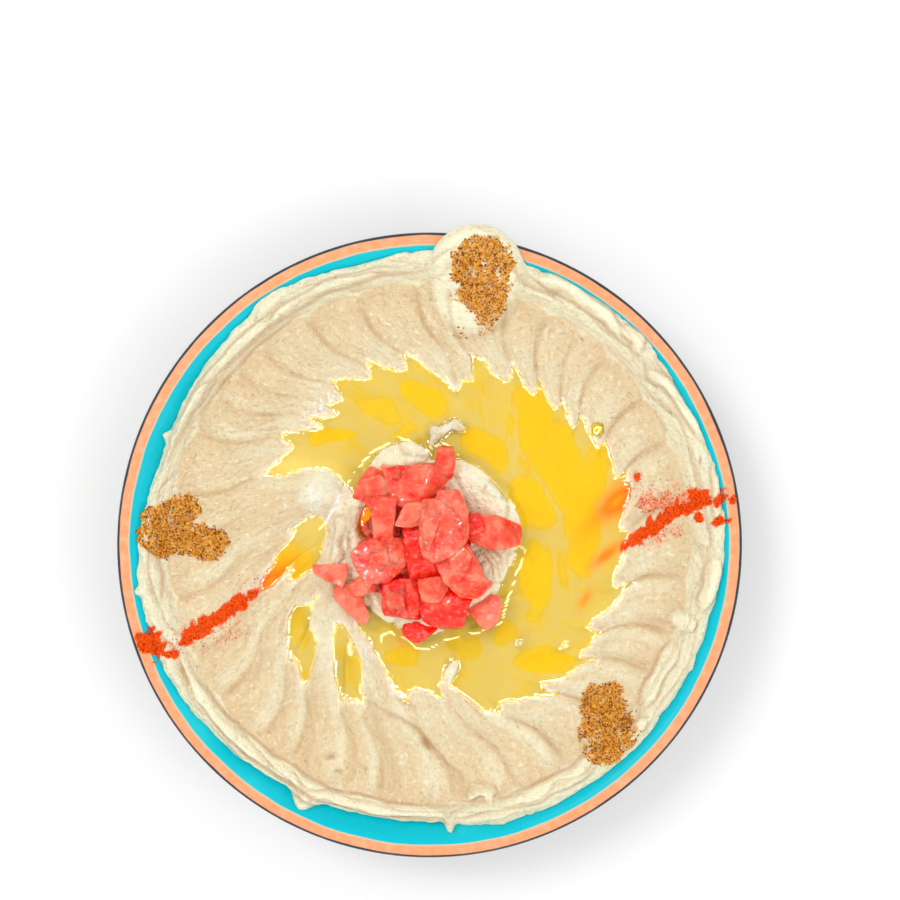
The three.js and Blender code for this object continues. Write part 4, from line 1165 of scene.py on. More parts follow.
# Oil that lies deep and golden: x, y, half length, half width, angle, strength.
GOLD = [
    (-1.8, 50.6, 8.6, 4.4, -22, 1.0), (-35.0, 36.2, 7.6, 3.0, 4, 0.85), (-17.5, 46.5, 9, 3.6, -28, 0.4),
    (41.0, 32.5, 21, 8.6, -68, 1.0), (54, 19, 14, 7, 68, 0.8), (52.5, 3, 15, 6.0, 95, 0.75),
    (20.5, 32.0, 9.5, 6.0, -42, 0.9), (35.4, 13.6, 9.4, 8.2, -50, 0.9), (36.8, -13, 13, 5.6, 92, 1.0),
    (40.5, -42, 10.5, 3.6, -6, 0.85), (27.5, -31.5, 3.6, 5.0, 0, 0.7), (-45.5, -28, 9, 3.2, 100, 0.25),
    (-29.5, -42, 8, 3, 103, 0.25), (-10, -39, 6, 3.4, 15, 0.5), (12.5, -36, 6, 3.5, 10, 0.35),
    (-51, -10, 10, 6.5, 57, 0.9), (58, 39.1, 3, 3, 0, 1.0), (44, -8, 8, 3, 100, 0.4),
    (-6, 37.5, 6, 3, 10, 0.35),
]
# Pale strands under the oil: points of the line, half width.
STRANDS = [
    ([(29.5, 46.5), (30.5, 33), (39, 20.5), (45, 9)], 1.6), ([(30, 3.4), (43, 2.6)], 1.7),
    ([(43, 4), (43.5, -12), (44, -28)], 1.5), ([(-20, 30), (-8, 36), (4, 41)], 1.6),
    ([(9, 48.5), (14, 42), (22, 38)], 1.8), ([(20, -40), (27, -36), (36, -33)], 1.5),
    ([(-42, 30), (-30, 29), (-22, 22)], 1.6),
]


def gold_share():
    """How deep and golden the oil looks, from 0 to 1."""
    gold = thickest(*bent(GRID_X, GRID_Y, 2.2, 7, 3, 9), GOLD, 0.4, 1.5)
    gold = gold + 0.14 + 0.12 * wander(GRID_X / 9 + 2, GRID_Y / 6)
    for points, half_width in STRANDS:
        away = nearest_on_line(GRID_X, GRID_Y, points)[0] / half_width
        gold = gold * (1 - 0.75 * np.exp(-away ** 2))
    return np.clip(gold + 0.05 * wander(SHORE_OF_GRID / 3, GRID_RADIUS / 9 + 20), 0, 1)


HEAP_RADIUS = 26                           # inside it the stain reaches the bare paste too
CUMIN = cumin_cover(GRID_X, GRID_Y)
PAPRIKA = paprika_cover(GRID_X, GRID_Y, 1.05)
STAIN = swell(GRID_X, GRID_Y, STAINS) * ((DEPTH > 0) | (GRID_RADIUS < HEAP_RADIUS))
print("cumin covers", round(float(CUMIN.mean()) * 100, 1), "% of the grid")

# %% Where the paste is pale and where it is shaded
ACROSS, REACH = stroke_at(SHORE_OF_GRID)
SHARE = rim_share(GRID_ANGLE, GRID_RADIUS)
STROKED = plateau(33, 44, 84, 90, GRID_RADIUS)
SCALLOP = scallop(ACROSS, GRID_RADIUS)
ON_RIDGE = smoothstep(84, 87, GRID_RADIUS)
ROLL_HEIGHT, ROLL_FOOT = roll_height(GRID_X, GRID_Y)
PALE_PATCH = (-26, -33, 21, 19, 0)
# The islands are painted pale: painted light on paste that otherwise lies grey in shade.
PALE_ISLANDS = [(2.4, 38.5, 8, 5, 20), (7, -44, 5, 7, 0), (-38, 18, 8, 9, 0)]
# Thin pale oil: x, y, half length, half width, angle, strength.
PALE_OIL = [(-47, 26, 15, 4.5, -10, 0.9), (-34, 17, 6, 7, 0, 0.8), (-42, 4, 8, 6, 52, 0.5)]
# The cream share counts up to the first; its part above 1 is near-white painted light on the mound, the lump,
# the rolls, the peaks and the islands. Painted shade counts up to the second.
LIT_CREAM, DEEPEST_SHADE = 1.3, 1.6


def banding():
    """How strongly painted light and shade band the strokes: broadest at the front, faint at the back."""
    return 0.70 + 0.34 * np.cos(np.radians(GRID_ANGLE - 265))


def strongest(shapes, power=1):
    """The strongest of some soft patches on the grid, each 1 in its middle."""
    return np.max([np.exp(-ellipse(GRID_X, GRID_Y, shape) ** power) for shape in shapes], axis=0)


def hill(value, middle, width):
    """1 where a value is in the middle of a range, falling off on both sides."""
    return np.exp(-((value - middle) / width) ** 2)


def cream_and_light_share():
    """Pale cream, mostly painted light on the ridge, the mound, the lump, the rolls' tops and the stroke tips
    by the oil, with pale patches at random.
    """
    patches = 0.22 * lumps(GRID_X, GRID_Y, 12, 0, 15)
    patches = patches + 0.2 * wander(SHORE_OF_GRID / 2.4, GRID_RADIUS / 11)
    parts = [
        SCALLOP,
        LIT_CREAM * (1 - smoothstep(33, 40, GRID_RADIUS)),
        0.85 * np.exp(-np.abs(GRID_RADIUS - REACH - 3) / 7) * stroke_ridge(ACROSS),
        0.9 * strongest([PALE_PATCH], 2),
        1.25 * strongest(PALE_ISLANDS, 2),
        1.25 * smoothstep(0.0, 0.35, lump_swell(GRID_ANGLE, GRID_RADIUS)),
        LIT_CREAM * smoothstep(0.2, 1.0, ROLL_HEIGHT) * ON_RIDGE,
        LIT_CREAM * strongest(PEAKS),
        0.65 * hill(ACROSS, 0.22, 0.15) * STROKED * banding() + patches,
    ]
    return np.clip(np.max(parts, axis=0), 0, LIT_CREAM)


def painted_shade_share():
    """Painted shade between the strokes, on their flanks, at the ridge's foot, below the steps of its slabs,
    round the rolls' feet, in the wrinkles and pits and before the fold.
    """
    fall = np.where(ACROSS > 0.5, (0.965 - ACROSS) / 0.055, (ACROSS + 0.03) / 0.03)
    between = np.exp(-np.abs(fall) ** 1.6) * STROKED * smoothstep(58, 76, GRID_RADIUS)
    flank = hill(ACROSS, 0.80, 0.12) * STROKED * smoothstep(52, 70, GRID_RADIUS) * banding()
    valleys = np.clip(1.15 - 1.6 * rim_layers(GRID_ANGLE, SHARE), 0, 1) * np.sin(np.pi * SHARE)
    away, side, along = nearest_on_line(GRID_X, GRID_Y, FOLD_LINE)
    line = hill(SCALLOP, 0.25, 0.3) * (SCALLOP > 0)
    parts = [
        between * (0.75 + 0.5 * wander(SHORE_OF_GRID / 9, GRID_RADIUS / 8)),
        flank * (0.4 + 0.4 * wander(SHORE_OF_GRID / 14 + 5, GRID_RADIUS / 12)),
        0.22 * smoothstep(80, 88.5, GRID_RADIUS) * (1 - SCALLOP),
        valleys * (0.8 + 0.5 * lumps(GRID_X, GRID_Y, 6, 0, 44)),
        0.95 * ROLL_FOOT * ON_RIDGE,
        0.8 * wrinkles(GRID_X, GRID_Y) * (1 - smoothstep(32, 44, GRID_RADIUS)),
        DEEPEST_SHADE * strongest(PITS),
        0.8 * hill(away, 1.0, 1.1) * (side > 0) * arch(along, 0.03, 0.4),
        line * (0.35 + 0.4 * wander(SHORE_OF_GRID / 11, 4.5)),
    ]
    return np.clip(np.max(parts, axis=0), 0, DEEPEST_SHADE)


print("creamy share of the grid:", round(float(cream_and_light_share().mean()), 2))

# %% Body of the spread
CUMIN_RISE, PAPRIKA_RISE = 0.36, 0.25
UNDERSIDE_RADII = (91, 84, 76, 62, 45, 24)
TUCK, LEDGE = 1.5, 0.6                     # how far the underside starts inside the edge


def spread_mesh():
    """Vertices and faces: middle point, top rows, underside rings, middle underneath."""
    height = GRID_Z + CUMIN_RISE * CUMIN + PAPRIKA_RISE * PAPRIKA
    rows = [np.column_stack(row) for row in zip(GRID_X, GRID_Y, height)]
    edge = GRID_RADIUS[-1]
    unit = np.column_stack([GRID_X[-1], GRID_Y[-1]]) / edge[:, None]
    tucked = np.where(edge > LIP_REACH, np.minimum(edge - LEDGE, LIP_REACH + LEDGE), edge - TUCK)
    for r in (edge, tucked, *(np.full(COLUMNS, r) for r in UNDERSIDE_RADII)):
        rows.append(np.column_stack([unit * r[:, None], underside(r)]))
    first, last = [[0, 0, height_at(fine_height, 0.01, 0)]], [[0, 0, float(underside(np.array(0.0)))]]
    return np.concatenate([first, *rows, last]), ring_faces(len(rows), COLUMNS)


def on_spread(values, middle=0.0):
    """A grid of values stretched over all of the body's points."""
    points = len(spread.data.vertices)
    filled = np.full(points, middle)
    filled[1:1 + values.size] = values.ravel()
    filled[1 + values.size:] = values[-1].mean()
    return filled

# %% Direction of the strands
STRANDS_ROUND, RIDGE_STRANDS_ROUND = 52, 9     # radius of the circle that lays them out in the noise
MIDDLE_RADIUS = 36
RIDGE, MIDDLE = SCALLOP > 0.5, GRID_RADIUS < MIDDLE_RADIUS


def strand_places():
    """Where points lie in a noise drawn out along the strokes, and round the bowl on its ridge."""
    turn, spin = np.radians(SHORE_OF_GRID), np.where(RIDGE, RIDGE_STRANDS_ROUND, STRANDS_ROUND)
    out = np.where(RIDGE, 100 + 8 * SHARE, GRID_RADIUS / 4)
    places = [np.where(MIDDLE, GRID_X / 1.5, spin * np.cos(turn)),
              np.where(MIDDLE, GRID_Y / 1.5, spin * np.sin(turn)), out]
    return np.column_stack([on_spread(place) for place in places])


def seam_share():
    """1 along the lines where the strands change direction, 0 elsewhere."""
    label, steps = 2 * RIDGE + MIDDLE, (-1, 0, 1)
    return sum(np.roll(label, (i, j), (0, 1)) != label for i in steps for j in steps) > 0


print("strands run round the ridge on", round(float(RIDGE.mean()) * 100), "% of the grid")

# %% Hummus material
# Tan is the paste's base colour, with random darker blotches. The cream, highlight and mound colours are
# painted light over it, the crease colour is painted shade, and the white one is painted glints.
TAN, TAN_DEEP, CREAM = (0.83, 0.66, 0.40), (0.80, 0.60, 0.33), (0.90, 0.85, 0.61)
PAINTED_SHADE, HIGHLIGHT = (0.60, 0.37, 0.19), (1.0, 0.98, 0.77)
PAINTED_GLINT_WHITE, MOUND_PAINTED_LIGHT = (1.0, 1.0, 0.94), (1.0, 0.97, 0.71)
# Paste seen through oil, from thin to deep.
OIL_PALE, OIL_SHALLOW, OIL_MIDDLE = (0.46, 0.385, 0.20), (0.38, 0.31, 0.145), (0.42, 0.315, 0.025)
OIL_DEEP, OIL_LINE = (0.47, 0.32, 0.0), (0.40, 0.26, 0.01)
STAIN_TINT, BRIGHT_STAIN_AND_LIGHT = (0.50, 0.14, 0.0), (1.0, 0.42, 0.0)
PAPRIKA_TINT, CUMIN_TINT = (1.0, 0.085, 0.002), (0.66, 0.26, 0.015)


HUMMUS_LOOK = {
    "Coat Roughness": 0.15, "Specular IOR Level": 0.14, "Subsurface Weight": 0.2,
    "Subsurface Radius": (2.4 * MM, 1.4 * MM, 0.8 * MM), "Subsurface Scale": 1.0,
}
PIT_SCALE, PIT_SHARE, RELIEF = 380.0, 0.90, 0.34     # per metre, share left smooth, millimetres


def strand_noise(tree):
    """Streaks from -1 to 1 along the strokes, left out where their direction changes."""
    where = add_node(tree, "ShaderNodeAttribute", attribute_name="strands").outputs["Vector"]
    inputs = {"Vector": where, "Scale": 1.0, "Detail": 3.0, "Roughness": 0.6}
    noise = add_node(tree, "ShaderNodeTexNoise", inputs).outputs[0]
    strand = remap(tree, noise, 0.3, 0.7, -1, 1, smooth=False)
    return maths(tree, "MULTIPLY", strand, remap(tree, attribute(tree, "seam"), 0.0, 0.3, 1.0, 0.0))


def paste_colour(tree, strand):
    """Bare paste: tan, with cream and near-white painted light, painted highlight and shade in its grain,
    painted shade in its creases and white painted glints by the oil.
    """
    cream = attribute(tree, "cream")
    blotch = maths(tree, "MULTIPLY", remap(tree, mottle(tree, 9), -0.8, 0.9), 0.35)
    # Fine mottle and strands: their high points take painted highlight, their low points specks of painted
    # shade.
    fine = maths(tree, "MULTIPLY_ADD", mottle(tree, 1.5), 0.9, maths(tree, "MULTIPLY", strand, 0.55))
    plain = remap(tree, cream, 1.0, 1.25, 1.0, 0.35)
    shade_specks = maths(tree, "MULTIPLY", remap(tree, fine, -0.1, -1.5, 0, 0.6), plain)
    dots = remap(tree, mottle(tree, 1.2, 2.0), -0.1, 0.35)
    colour = mix_colour(tree, blotch, TAN, TAN_DEEP)
    for share, tint in (
        (cream, CREAM),
        (remap(tree, cream, 1.0, LIT_CREAM, 0, 0.95), MOUND_PAINTED_LIGHT),
        (remap(tree, fine, 0.1, 1.4, 0, 0.85), HIGHLIGHT),
        (shade_specks, PAINTED_SHADE),
        (maths(tree, "MULTIPLY", attribute(tree, "crease"), 0.68), PAINTED_SHADE),
        (maths(tree, "MULTIPLY", dots, attribute(tree, "foam")), PAINTED_GLINT_WHITE),
    ):
        colour = mix_colour(tree, share, colour, tint)
    return colour


def oiled_colour(tree, strand):
    """Paste under oil: golden where the oil looks deep, with a brown line round each patch."""
    streaks = maths(tree, "MULTIPLY_ADD", strand, 0.10, maths(tree, "MULTIPLY", mottle(tree, 5), 0.12))
    gold = maths(tree, "ADD", attribute(tree, "gold"), streaks)
    brim = maths(tree, "MULTIPLY", remap(tree, gold, 0.24, 0.38), remap(tree, gold, 0.38, 0.54, 0.45, 0))
    colour = mix_colour(tree, remap(tree, gold, 0.0, 0.5), OIL_SHALLOW, OIL_MIDDLE)
    colour = mix_colour(tree, remap(tree, gold, 0.4, 0.95), colour, OIL_DEEP)
    colour = mix_colour(tree, brim, colour, OIL_LINE)
    return mix_colour(tree, attribute(tree, "pale"), colour, OIL_PALE)


def hummus_material():
    material, tree, shader = new_material("hummus")
    strand, depth, wet = strand_noise(tree), attribute(tree, "depth"), attribute(tree, "wet")
    stain = attribute(tree, "stain")
    colour = paste_colour(tree, strand)
    for share, tint in (
        (remap(tree, depth, 0.0, 0.25), oiled_colour(tree, strand)),
        # The glint lines are painted white into the paste, so they show through the oil.
        (remap(tree, attribute(tree, "foam"), 1.0, 2.2), PAINTED_GLINT_WHITE),
        (stain, STAIN_TINT),
        # Stain over 1 turns brighter orange: painted light where the dice shade it.
        (remap(tree, stain, 1.0, 2.0), BRIGHT_STAIN_AND_LIGHT),
        (remap(tree, attribute(tree, "paprika"), 0.02, 0.5), PAPRIKA_TINT),
        (remap(tree, attribute(tree, "cumin"), 0.1, 1.0, 0, 0.75), CUMIN_TINT),
    ):
        colour = mix_colour(tree, share, colour, tint)
    dry = remap(tree, depth, 0.0, 0.3, 1.0, 0.0)
    grain = maths(tree, "MULTIPLY_ADD", mottle(tree, 0.8, 2.0), 0.6, mottle(tree, 2.4, 2.0))
    where = tree.nodes.new("ShaderNodeTexCoord").outputs["Object"]
    inputs = {"Scale": PIT_SCALE, "Randomness": 1.0, "Vector": where}
    cells = add_node(tree, "ShaderNodeTexVoronoi", inputs).outputs
    lone = add_node(tree, "ShaderNodeSeparateColor", {"Color": cells["Color"]}).outputs[0]
    pit = remap(tree, cells["Distance"], 0.10, 0.24, -1.4, 0)
    pits = maths(tree, "MULTIPLY", pit, maths(tree, "GREATER_THAN", lone, PIT_SHARE))
    relief = maths(tree, "MULTIPLY_ADD", strand, 0.6, maths(tree, "ADD", grain, pits))
    fill_sockets(tree, shader, {
        **HUMMUS_LOOK, "Base Color": colour, "Roughness": remap(tree, wet, 0.1, 0.9, 0.56, 0.3),
        "Coat Weight": maths(tree, "MULTIPLY", remap(tree, wet, 0.2, 0.9, 0.0, 0.4), dry),
        "Normal": bump(tree, maths(tree, "MULTIPLY", relief, dry), RELIEF),
    })
    return material

# %% Make the spread
spread = new_object("spread_hummus", *spread_mesh(), hummus_material())
masks = {
    "crease": painted_shade_share(), "depth": DEPTH, "wet": WETNESS, "foam": PAINTED_GLINTS, "paprika": PAPRIKA,
    "cumin": CUMIN, "stain": STAIN, "gold": gold_share(), "pale": swell(GRID_X, GRID_Y, PALE_OIL),
    "seam": seam_share(),
}
put_attribute(spread, "cream", on_spread(cream_and_light_share(), 1.0))
for name, values in masks.items():
    put_attribute(spread, name, on_spread(values))
put_attribute(spread, "strands", strand_places())
WET_BODIES.objects.link(spread)
finish_piece(spread, "hummus", "hummus")

# %% [markdown]
# ## Diced tomato
# A ripe tomato cut with a knife gives soft slabs with flat faces, eased edges and wet sides.
# Each dice starts from its own cut outline. The outline is rounded at the corners, carried
# round the edge of the slab in rings and closed over the top, and the flesh is then pushed
# in and out a little. Flesh lets red light deep in, so it has a strong subsurface and a
# thin wet coat. Pieces low in the heap are soaked and darker than the dry ones on top.

# %% Dice
TOMATO_ROUNDING, CORNER_CUTS, FACETS = 0.7, (0.07, 0.2, 0.25), 4
TONES = {"pale": 0.3, "salmon": 0.12, "pink": 0.45, "red": 1.0}
DICE = [                    # middle height, thickness, slope of the top, tone, outline
    (27.2, 7.5, (3, 8), "red", [(-15.5, -14), (-5, -13), (-3.5, -17.5), (-4, -25.5), (-11.5, -24),
        (-15, -24)]),
    (27.8, 8, (-3, 9), "red", [(-3.5, -18.5), (-1.5, -16), (7.5, -15), (14.5, -18), (12, -21.5),
        (11, -28), (3, -28), (-1.5, -26)]),
    (28, 6.5, (6, -5), "pink", [(-20, 25.5), (-15, 22.5), (-12, 17), (-12.5, 13), (-18.5, 11),
        (-21.5, 15), (-25.5, 16), (-22.5, 22)]),
    (27.2, 5, (8, 0), "salmon", [(-27, -14), (-21.5, -11.5), (-19, -12.5), (-20, -15.5), (-25, -17.5)]),
    (25.4, 4, (-14, 12), "salmon", [(14, -23.5), (19.5, -19), (24, -19.5), (23, -26), (19.5, -29.5),
        (16.5, -26)]),
    (24.8, 4, (0, 22), "red", [(-8.5, -31), (-8, -28.5), (-3.5, -28), (2.5, -29), (-1, -31.5),
        (-4.5, -34)]),
    (26, 3.6, (4, 5), "salmon", [(-32.5, -15.5), (-28.5, -15), (-25.5, -17.5), (-22, -24), (-22.5, -27),
        (-24.5, -27), (-28.5, -22.5), (-32, -19.5)]),
    (26.2, 3.2, (4, -3), "salmon", [(-40, -7.5), (-35, -8.5), (-29.5, -7.5), (-29.5, -11), (-31, -14.5),
        (-34.5, -12), (-39, -10.5)]),
    (27.8, 5, (-4, -10), "pink", [(3, 32), (7.5, 32), (7.5, 26.5), (7, 23), (3, 24)]),
    (28.8, 7, (2, -8), "pink", [(-15.5, 26.5), (-8, 25.5), (3.5, 27), (7, 23), (1.5, 18), (-5, 13.5),
        (-11, 14), (-14.5, 22)]),
    (28.4, 6, (-7, 2), "pink", [(13, 6), (15, 10), (22.5, 8.5), (30, 6), (30, 0), (22, -1), (15, 1)]),
    (28.4, 8, (4, 0), "red", [(-9, 4), (-5, 6), (-3, 4.5), (1.5, -6.5), (6, -12), (1.5, -15.5),
        (-3.5, -16), (-6, -12), (-7.5, -2.5)]),
    (31, 7, (6, 6), "pink", [(-25, -2), (-19, 1), (-11.5, 1.5), (-7.5, -1), (-7.5, -5.5),
        (-14.5, -11.5), (-20.5, -12.5), (-24, -8), (-25.5, -4.5)]),
    (31.6, 6, (-8, 5), "pink", [(2.5, -5.5), (7.5, -3), (11.5, 0), (14, -3), (17.5, -11), (20.5, -12.5),
        (15.5, -17.5), (10.5, -16.5), (6, -12)]),
    (31, 5, (7, 0), "pink", [(-19.5, 15.5), (-12, 15), (-12.5, 10), (-13.5, 7), (-12.5, 1.5),
        (-18.5, 0.5), (-18.5, 8)]),
    (32.2, 5, (4, -4), "salmon", [(-7.5, 13), (-2, 13.5), (-2, 7.5), (-7, 7), (-11, 7)]),
    (34.4, 8, (-3, 3), "pink", [(-2, 14), (3, 14.5), (9.5, 9), (12.5, 6.5), (12, 2), (7, -3),
        (1.5, -5.5), (-2, -2), (-2.5, 6.5)]),
    (33.6, 6.5, (-6, -4), "pink", [(3.5, 17.5), (9.5, 17.5), (12.5, 9.5), (12.5, 6), (8.5, 6.5),
        (4, 8.5), (2.5, 13.5)]),
]


def eased_outline(corners, count):
    """The cut outline with its corners eased, as evenly spaced points."""
    points = np.array(corners, dtype=float)
    x, y = points.T
    if np.sum(x * np.roll(y, -1) - y * np.roll(x, -1)) < 0:
        points = points[::-1]
    for share in CORNER_CUTS:
        after = np.roll(points, -1, axis=0)
        pair = [points * (1 - share) + after * share, points * share + after * (1 - share)]
        points = np.stack(pair, axis=1).reshape(-1, 2)
    closed = np.vstack([points, points[:1]])
    length = np.concatenate([[0], np.cumsum(np.hypot(*np.diff(closed, axis=0).T))])
    even = np.linspace(0, length[-1], count, endpoint=False)
    return np.column_stack([np.interp(even, length, closed[:, axis]) for axis in (0, 1)])


def slab_rings(half):
    """How far rings are drawn in and how high they lie: those on the top, then the others."""
    soft = TOMATO_ROUNDING
    top = [(1 - share, half) for share in (0.12, 0.3, 0.5, 0.68, 0.84)]
    turns = [math.radians(turn) for turn in range(0, 91, 18)]
    edge = [(soft * (1 - math.sin(turn)), half - soft * (1 - math.cos(turn))) for turn in turns]
    side = [(0.0, half - soft - step) for step in np.linspace(0, 2 * (half - soft), 6)[1:]]
    return top, edge + side + [(0.4 * soft, 0.35 * soft - half), (soft, -half)]


def flesh_lift(x, y, number, reach):
    """How the top of a slab waves, ribs and falls away where the knife cut it again."""
    ribs = wander((x * math.cos(number) + y * math.sin(number)) / 1.5, number * 2.3)
    lift = 0.3 * lumps(x, y, 3.4, number * 5, number * 3) + 0.12 * ribs + 0.15 * lumps(x, y, 1.4, 0, number)
    cuts = np.random.default_rng(number)
    for _ in range(FACETS):
        turn, start, fall = cuts.uniform(0, math.tau), cuts.uniform(0.15, 0.7), cuts.uniform(0.15, 0.5)
        past = x * math.cos(turn) + y * math.sin(turn) - start * reach
        lift = lift - fall * np.maximum(past, 0)
    return lift


def dice_mesh(number, height, thickness, slope, outline, growth=1.2, count=72):
    """One soft slab of tomato: rings from the middle of its top to the middle underneath."""
    rim, half = eased_outline(outline, count), thickness / 2
    middle = rim.mean(axis=0)
    out = rim - middle
    reach = np.hypot(*out.T)[:, None]
    out, reach = out * (1 + growth / reach), reach + growth
    tops, edges = slab_rings(half)
    rings = [(out * (1 - share) * (1 - TOMATO_ROUNDING / reach), z) for share, z in tops]
    rings += [(out * (1 - inset / reach), z) for inset, z in edges]
    layers = [np.column_stack([ring, np.full(count, z)]) for ring, z in rings]
    x, y, z = np.vstack([[0, 0, half], *layers, [0, 0, -half]]).T
    bulge = 1 + 0.05 * wander(z / 1.7 + 8, np.arctan2(y, x) * 3 + number)
    lift = flesh_lift(x, y, number, reach.mean()) * np.clip(z / half, 0, 1)
    points = np.column_stack([x * bulge, y * bulge, z + lift])
    tilt = Euler((math.radians(-slope[1]), math.radians(slope[0]), 0), "YXZ").to_matrix()
    return points @ np.array(tilt).T + [*middle, height], ring_faces(len(rings), count)

# %% Tomato material
SALMON, PINK, RED = (1.0, 0.24, 0.135), (1.0, 0.115, 0.055), (1.0, 0.012, 0.001)
FLESH_PALE = (1.0, 0.42, 0.28)
TOMATO_LOOK = {
    "Specular IOR Level": 0.2, "Subsurface Weight": 0.9, "Subsurface Scale": 1.0,
    "Subsurface Radius": (3.0 * MM, 1.0 * MM, 0.6 * MM), "Coat Weight": 0.4, "Coat Roughness": 0.06,
}


def tomato_material():
    material, tree, shader = new_material("tomato_flesh")
    tone = maths(tree, "MULTIPLY_ADD", mottle(tree, 4.5), 0.6, attribute(tree, "tone"))
    colour = mix_colour(tree, remap(tree, tone, 0.05, 0.45, smooth=False), SALMON, PINK)
    colour = mix_colour(tree, remap(tree, tone, 0.5, 1.0, smooth=False), colour, RED)
    # Paler blotches over the flesh.
    pale_blotches = remap(tree, mottle(tree, 1.6, 4.0), 0.1, 1.0, 0, 0.5)
    relief = maths(tree, "MULTIPLY_ADD", mottle(tree, 1.0, 2.0), 0.4, mottle(tree, 3.2, 2.0))
    fill_sockets(tree, shader, {
        **TOMATO_LOOK, "Base Color": mix_colour(tree, pale_blotches, colour, FLESH_PALE),
        "Roughness": remap(tree, mottle(tree, 3), -1, 1, 0.18, 0.42), "Normal": bump(tree, relief, 0.25),
    })
    return material


TOMATO_FLESH = tomato_material()
for number, (height, thickness, slope, tone, outline) in enumerate(DICE, start=1):
    shape = dice_mesh(number, height, thickness, slope, outline)
    dice = new_object(f"diced_tomato_{number:02d}", *shape, TOMATO_FLESH)
    put_attribute(dice, "tone", [TONES[tone]] * len(dice.data.vertices))
    WET_BODIES.objects.link(dice)
    finish_piece(dice, "tomato", f"tomato_{number:02d}")

# %% Scraps between the dice
SCRAPS, HEAP = 130, (-5, -1, 18, 22)        # number, and x, y and half sizes of the heap
WEDGE = (16, 20, 9)                        # x, y and radius of bare hummus beside the heap
# Thin chips that lie on top of the dice: the same figures as for the dice.
CHIPS = [
    (38.4, 1.8, (-4, 3), "pale", [(-2.4, 12.2), (3.1, 11.7), (3.5, 9.2), (0.1, -1.8), (-1.6, -1)]),
    (32.2, 2.6, (4, -6), "pink", [(-4.1, -12), (3.5, -11.2), (6, -15.4), (3.5, -19.6), (-2.4, -19.6)]),
    (34.9, 2.6, (-8, 5), "pale", [(6, -1.8), (10.3, 0.3), (14.1, -3.5), (12.8, -8.6), (7.7, -8.6)]),
    (31.2, 2.0, (3, 8), "pink", [(-15.2, -16.2), (-9.6, -15.4), (-8.4, -22.2), (-13.5, -23.5)]),
    (31.4, 2.6, (3, 8), "red", [(-8, -13.3), (-4.1, -12.9), (-3.7, -23.9), (-7.1, -23.5)]),
    (32.3, 1.8, (2, -8), "red", [(-14.7, 26.2), (-6.7, 26.6), (-5, 22.8), (-12.6, 21.5)]),
    (31.4, 2.2, (6, -5), "pink", [(-22.8, 21.9), (-16.8, 23.6), (-10.9, 18.5), (-14.3, 14.3), (-21.1, 16.8)]),
    (32.5, 3.0, (4, 0), "red", [(-9.2, 1.6), (-4.1, 4.9), (-1.6, 1.6), (-1.6, -5.2), (-5.8, -4.4)]),
    (31.5, 1.8, (-7, 2), "red", [(12.8, 9.6), (17.1, 10.5), (18.8, 4.9), (13.7, 1.6)]),
    (33.6, 2.0, (6, 6), "pink", [(-20, -1.5), (-13, -0.5), (-10, -5.5), (-15, -9.5), (-20.5, -7)]),
]


def chopped_bits():
    """Small bits that fill the gaps between the dice, and the chips that lie on them."""
    chance, bits = np.random.default_rng(5), []
    while len(bits) < SCRAPS:
        turn, out = chance.uniform(0, math.tau), math.sqrt(chance.uniform(0, 1))
        x, y = HEAP[0] + HEAP[2] * out * math.cos(turn), HEAP[1] + HEAP[3] * out * math.sin(turn)
        if math.hypot(x - WEDGE[0], y - WEDGE[1]) < WEDGE[2]:
            continue
        corners = int(chance.integers(4, 7))
        turns = np.arange(corners) / corners * math.tau + chance.uniform(0, 1.2, corners)
        reach = chance.uniform(1.6, 3.6, corners)
        outline = np.column_stack([x + reach * np.cos(turns), y + reach * np.sin(turns)])
        slope = chance.uniform(-25, 25, 2)
        height = height_at(fine_height, x, y) + 1.8 + 4.6 * (1 - out) * chance.uniform(0.4, 1.0)
        bits.append(dice_mesh(len(bits) + 40, height, chance.uniform(2.6, 3.8), slope, outline, 0.4, 26))
    for number, (height, thickness, slope, _, outline) in enumerate(CHIPS, start=200):
        bits.append(dice_mesh(number, height, thickness, slope, outline, 0.3, 40))
    return bits


bits = chopped_bits()
counts = [len(points) for points, _ in bits]
starts = np.cumsum([0, *counts[:-1]]).tolist()
faces = [tuple(first + n for n in face) for first, (_, sides) in zip(starts, bits) for face in sides]
points = np.concatenate([points for points, _ in bits])
scraps = new_object("chopped_tomato", points, faces, TOMATO_FLESH)
tones = np.random.default_rng(6).uniform(0.5, 1.0, SCRAPS).tolist() + [TONES[chip[3]] for chip in CHIPS]
put_attribute(scraps, "tone", np.repeat(tones, counts))
finish_piece(scraps, "tomato")
WET_BODIES.objects.link(scraps)

# %% [markdown]
# ## Spices
# Cumin is a coarse powder of broken seed, paprika a finer one. Both are real grains here: a
# patch of surface is laid over the place that was sprinkled, its "cover" says how thickly,
# and a node tree drops grains on it at random, each turned and sized by chance. The patches
# follow hummus, oil and lip alike, because a pinch of spice falls on all of them.

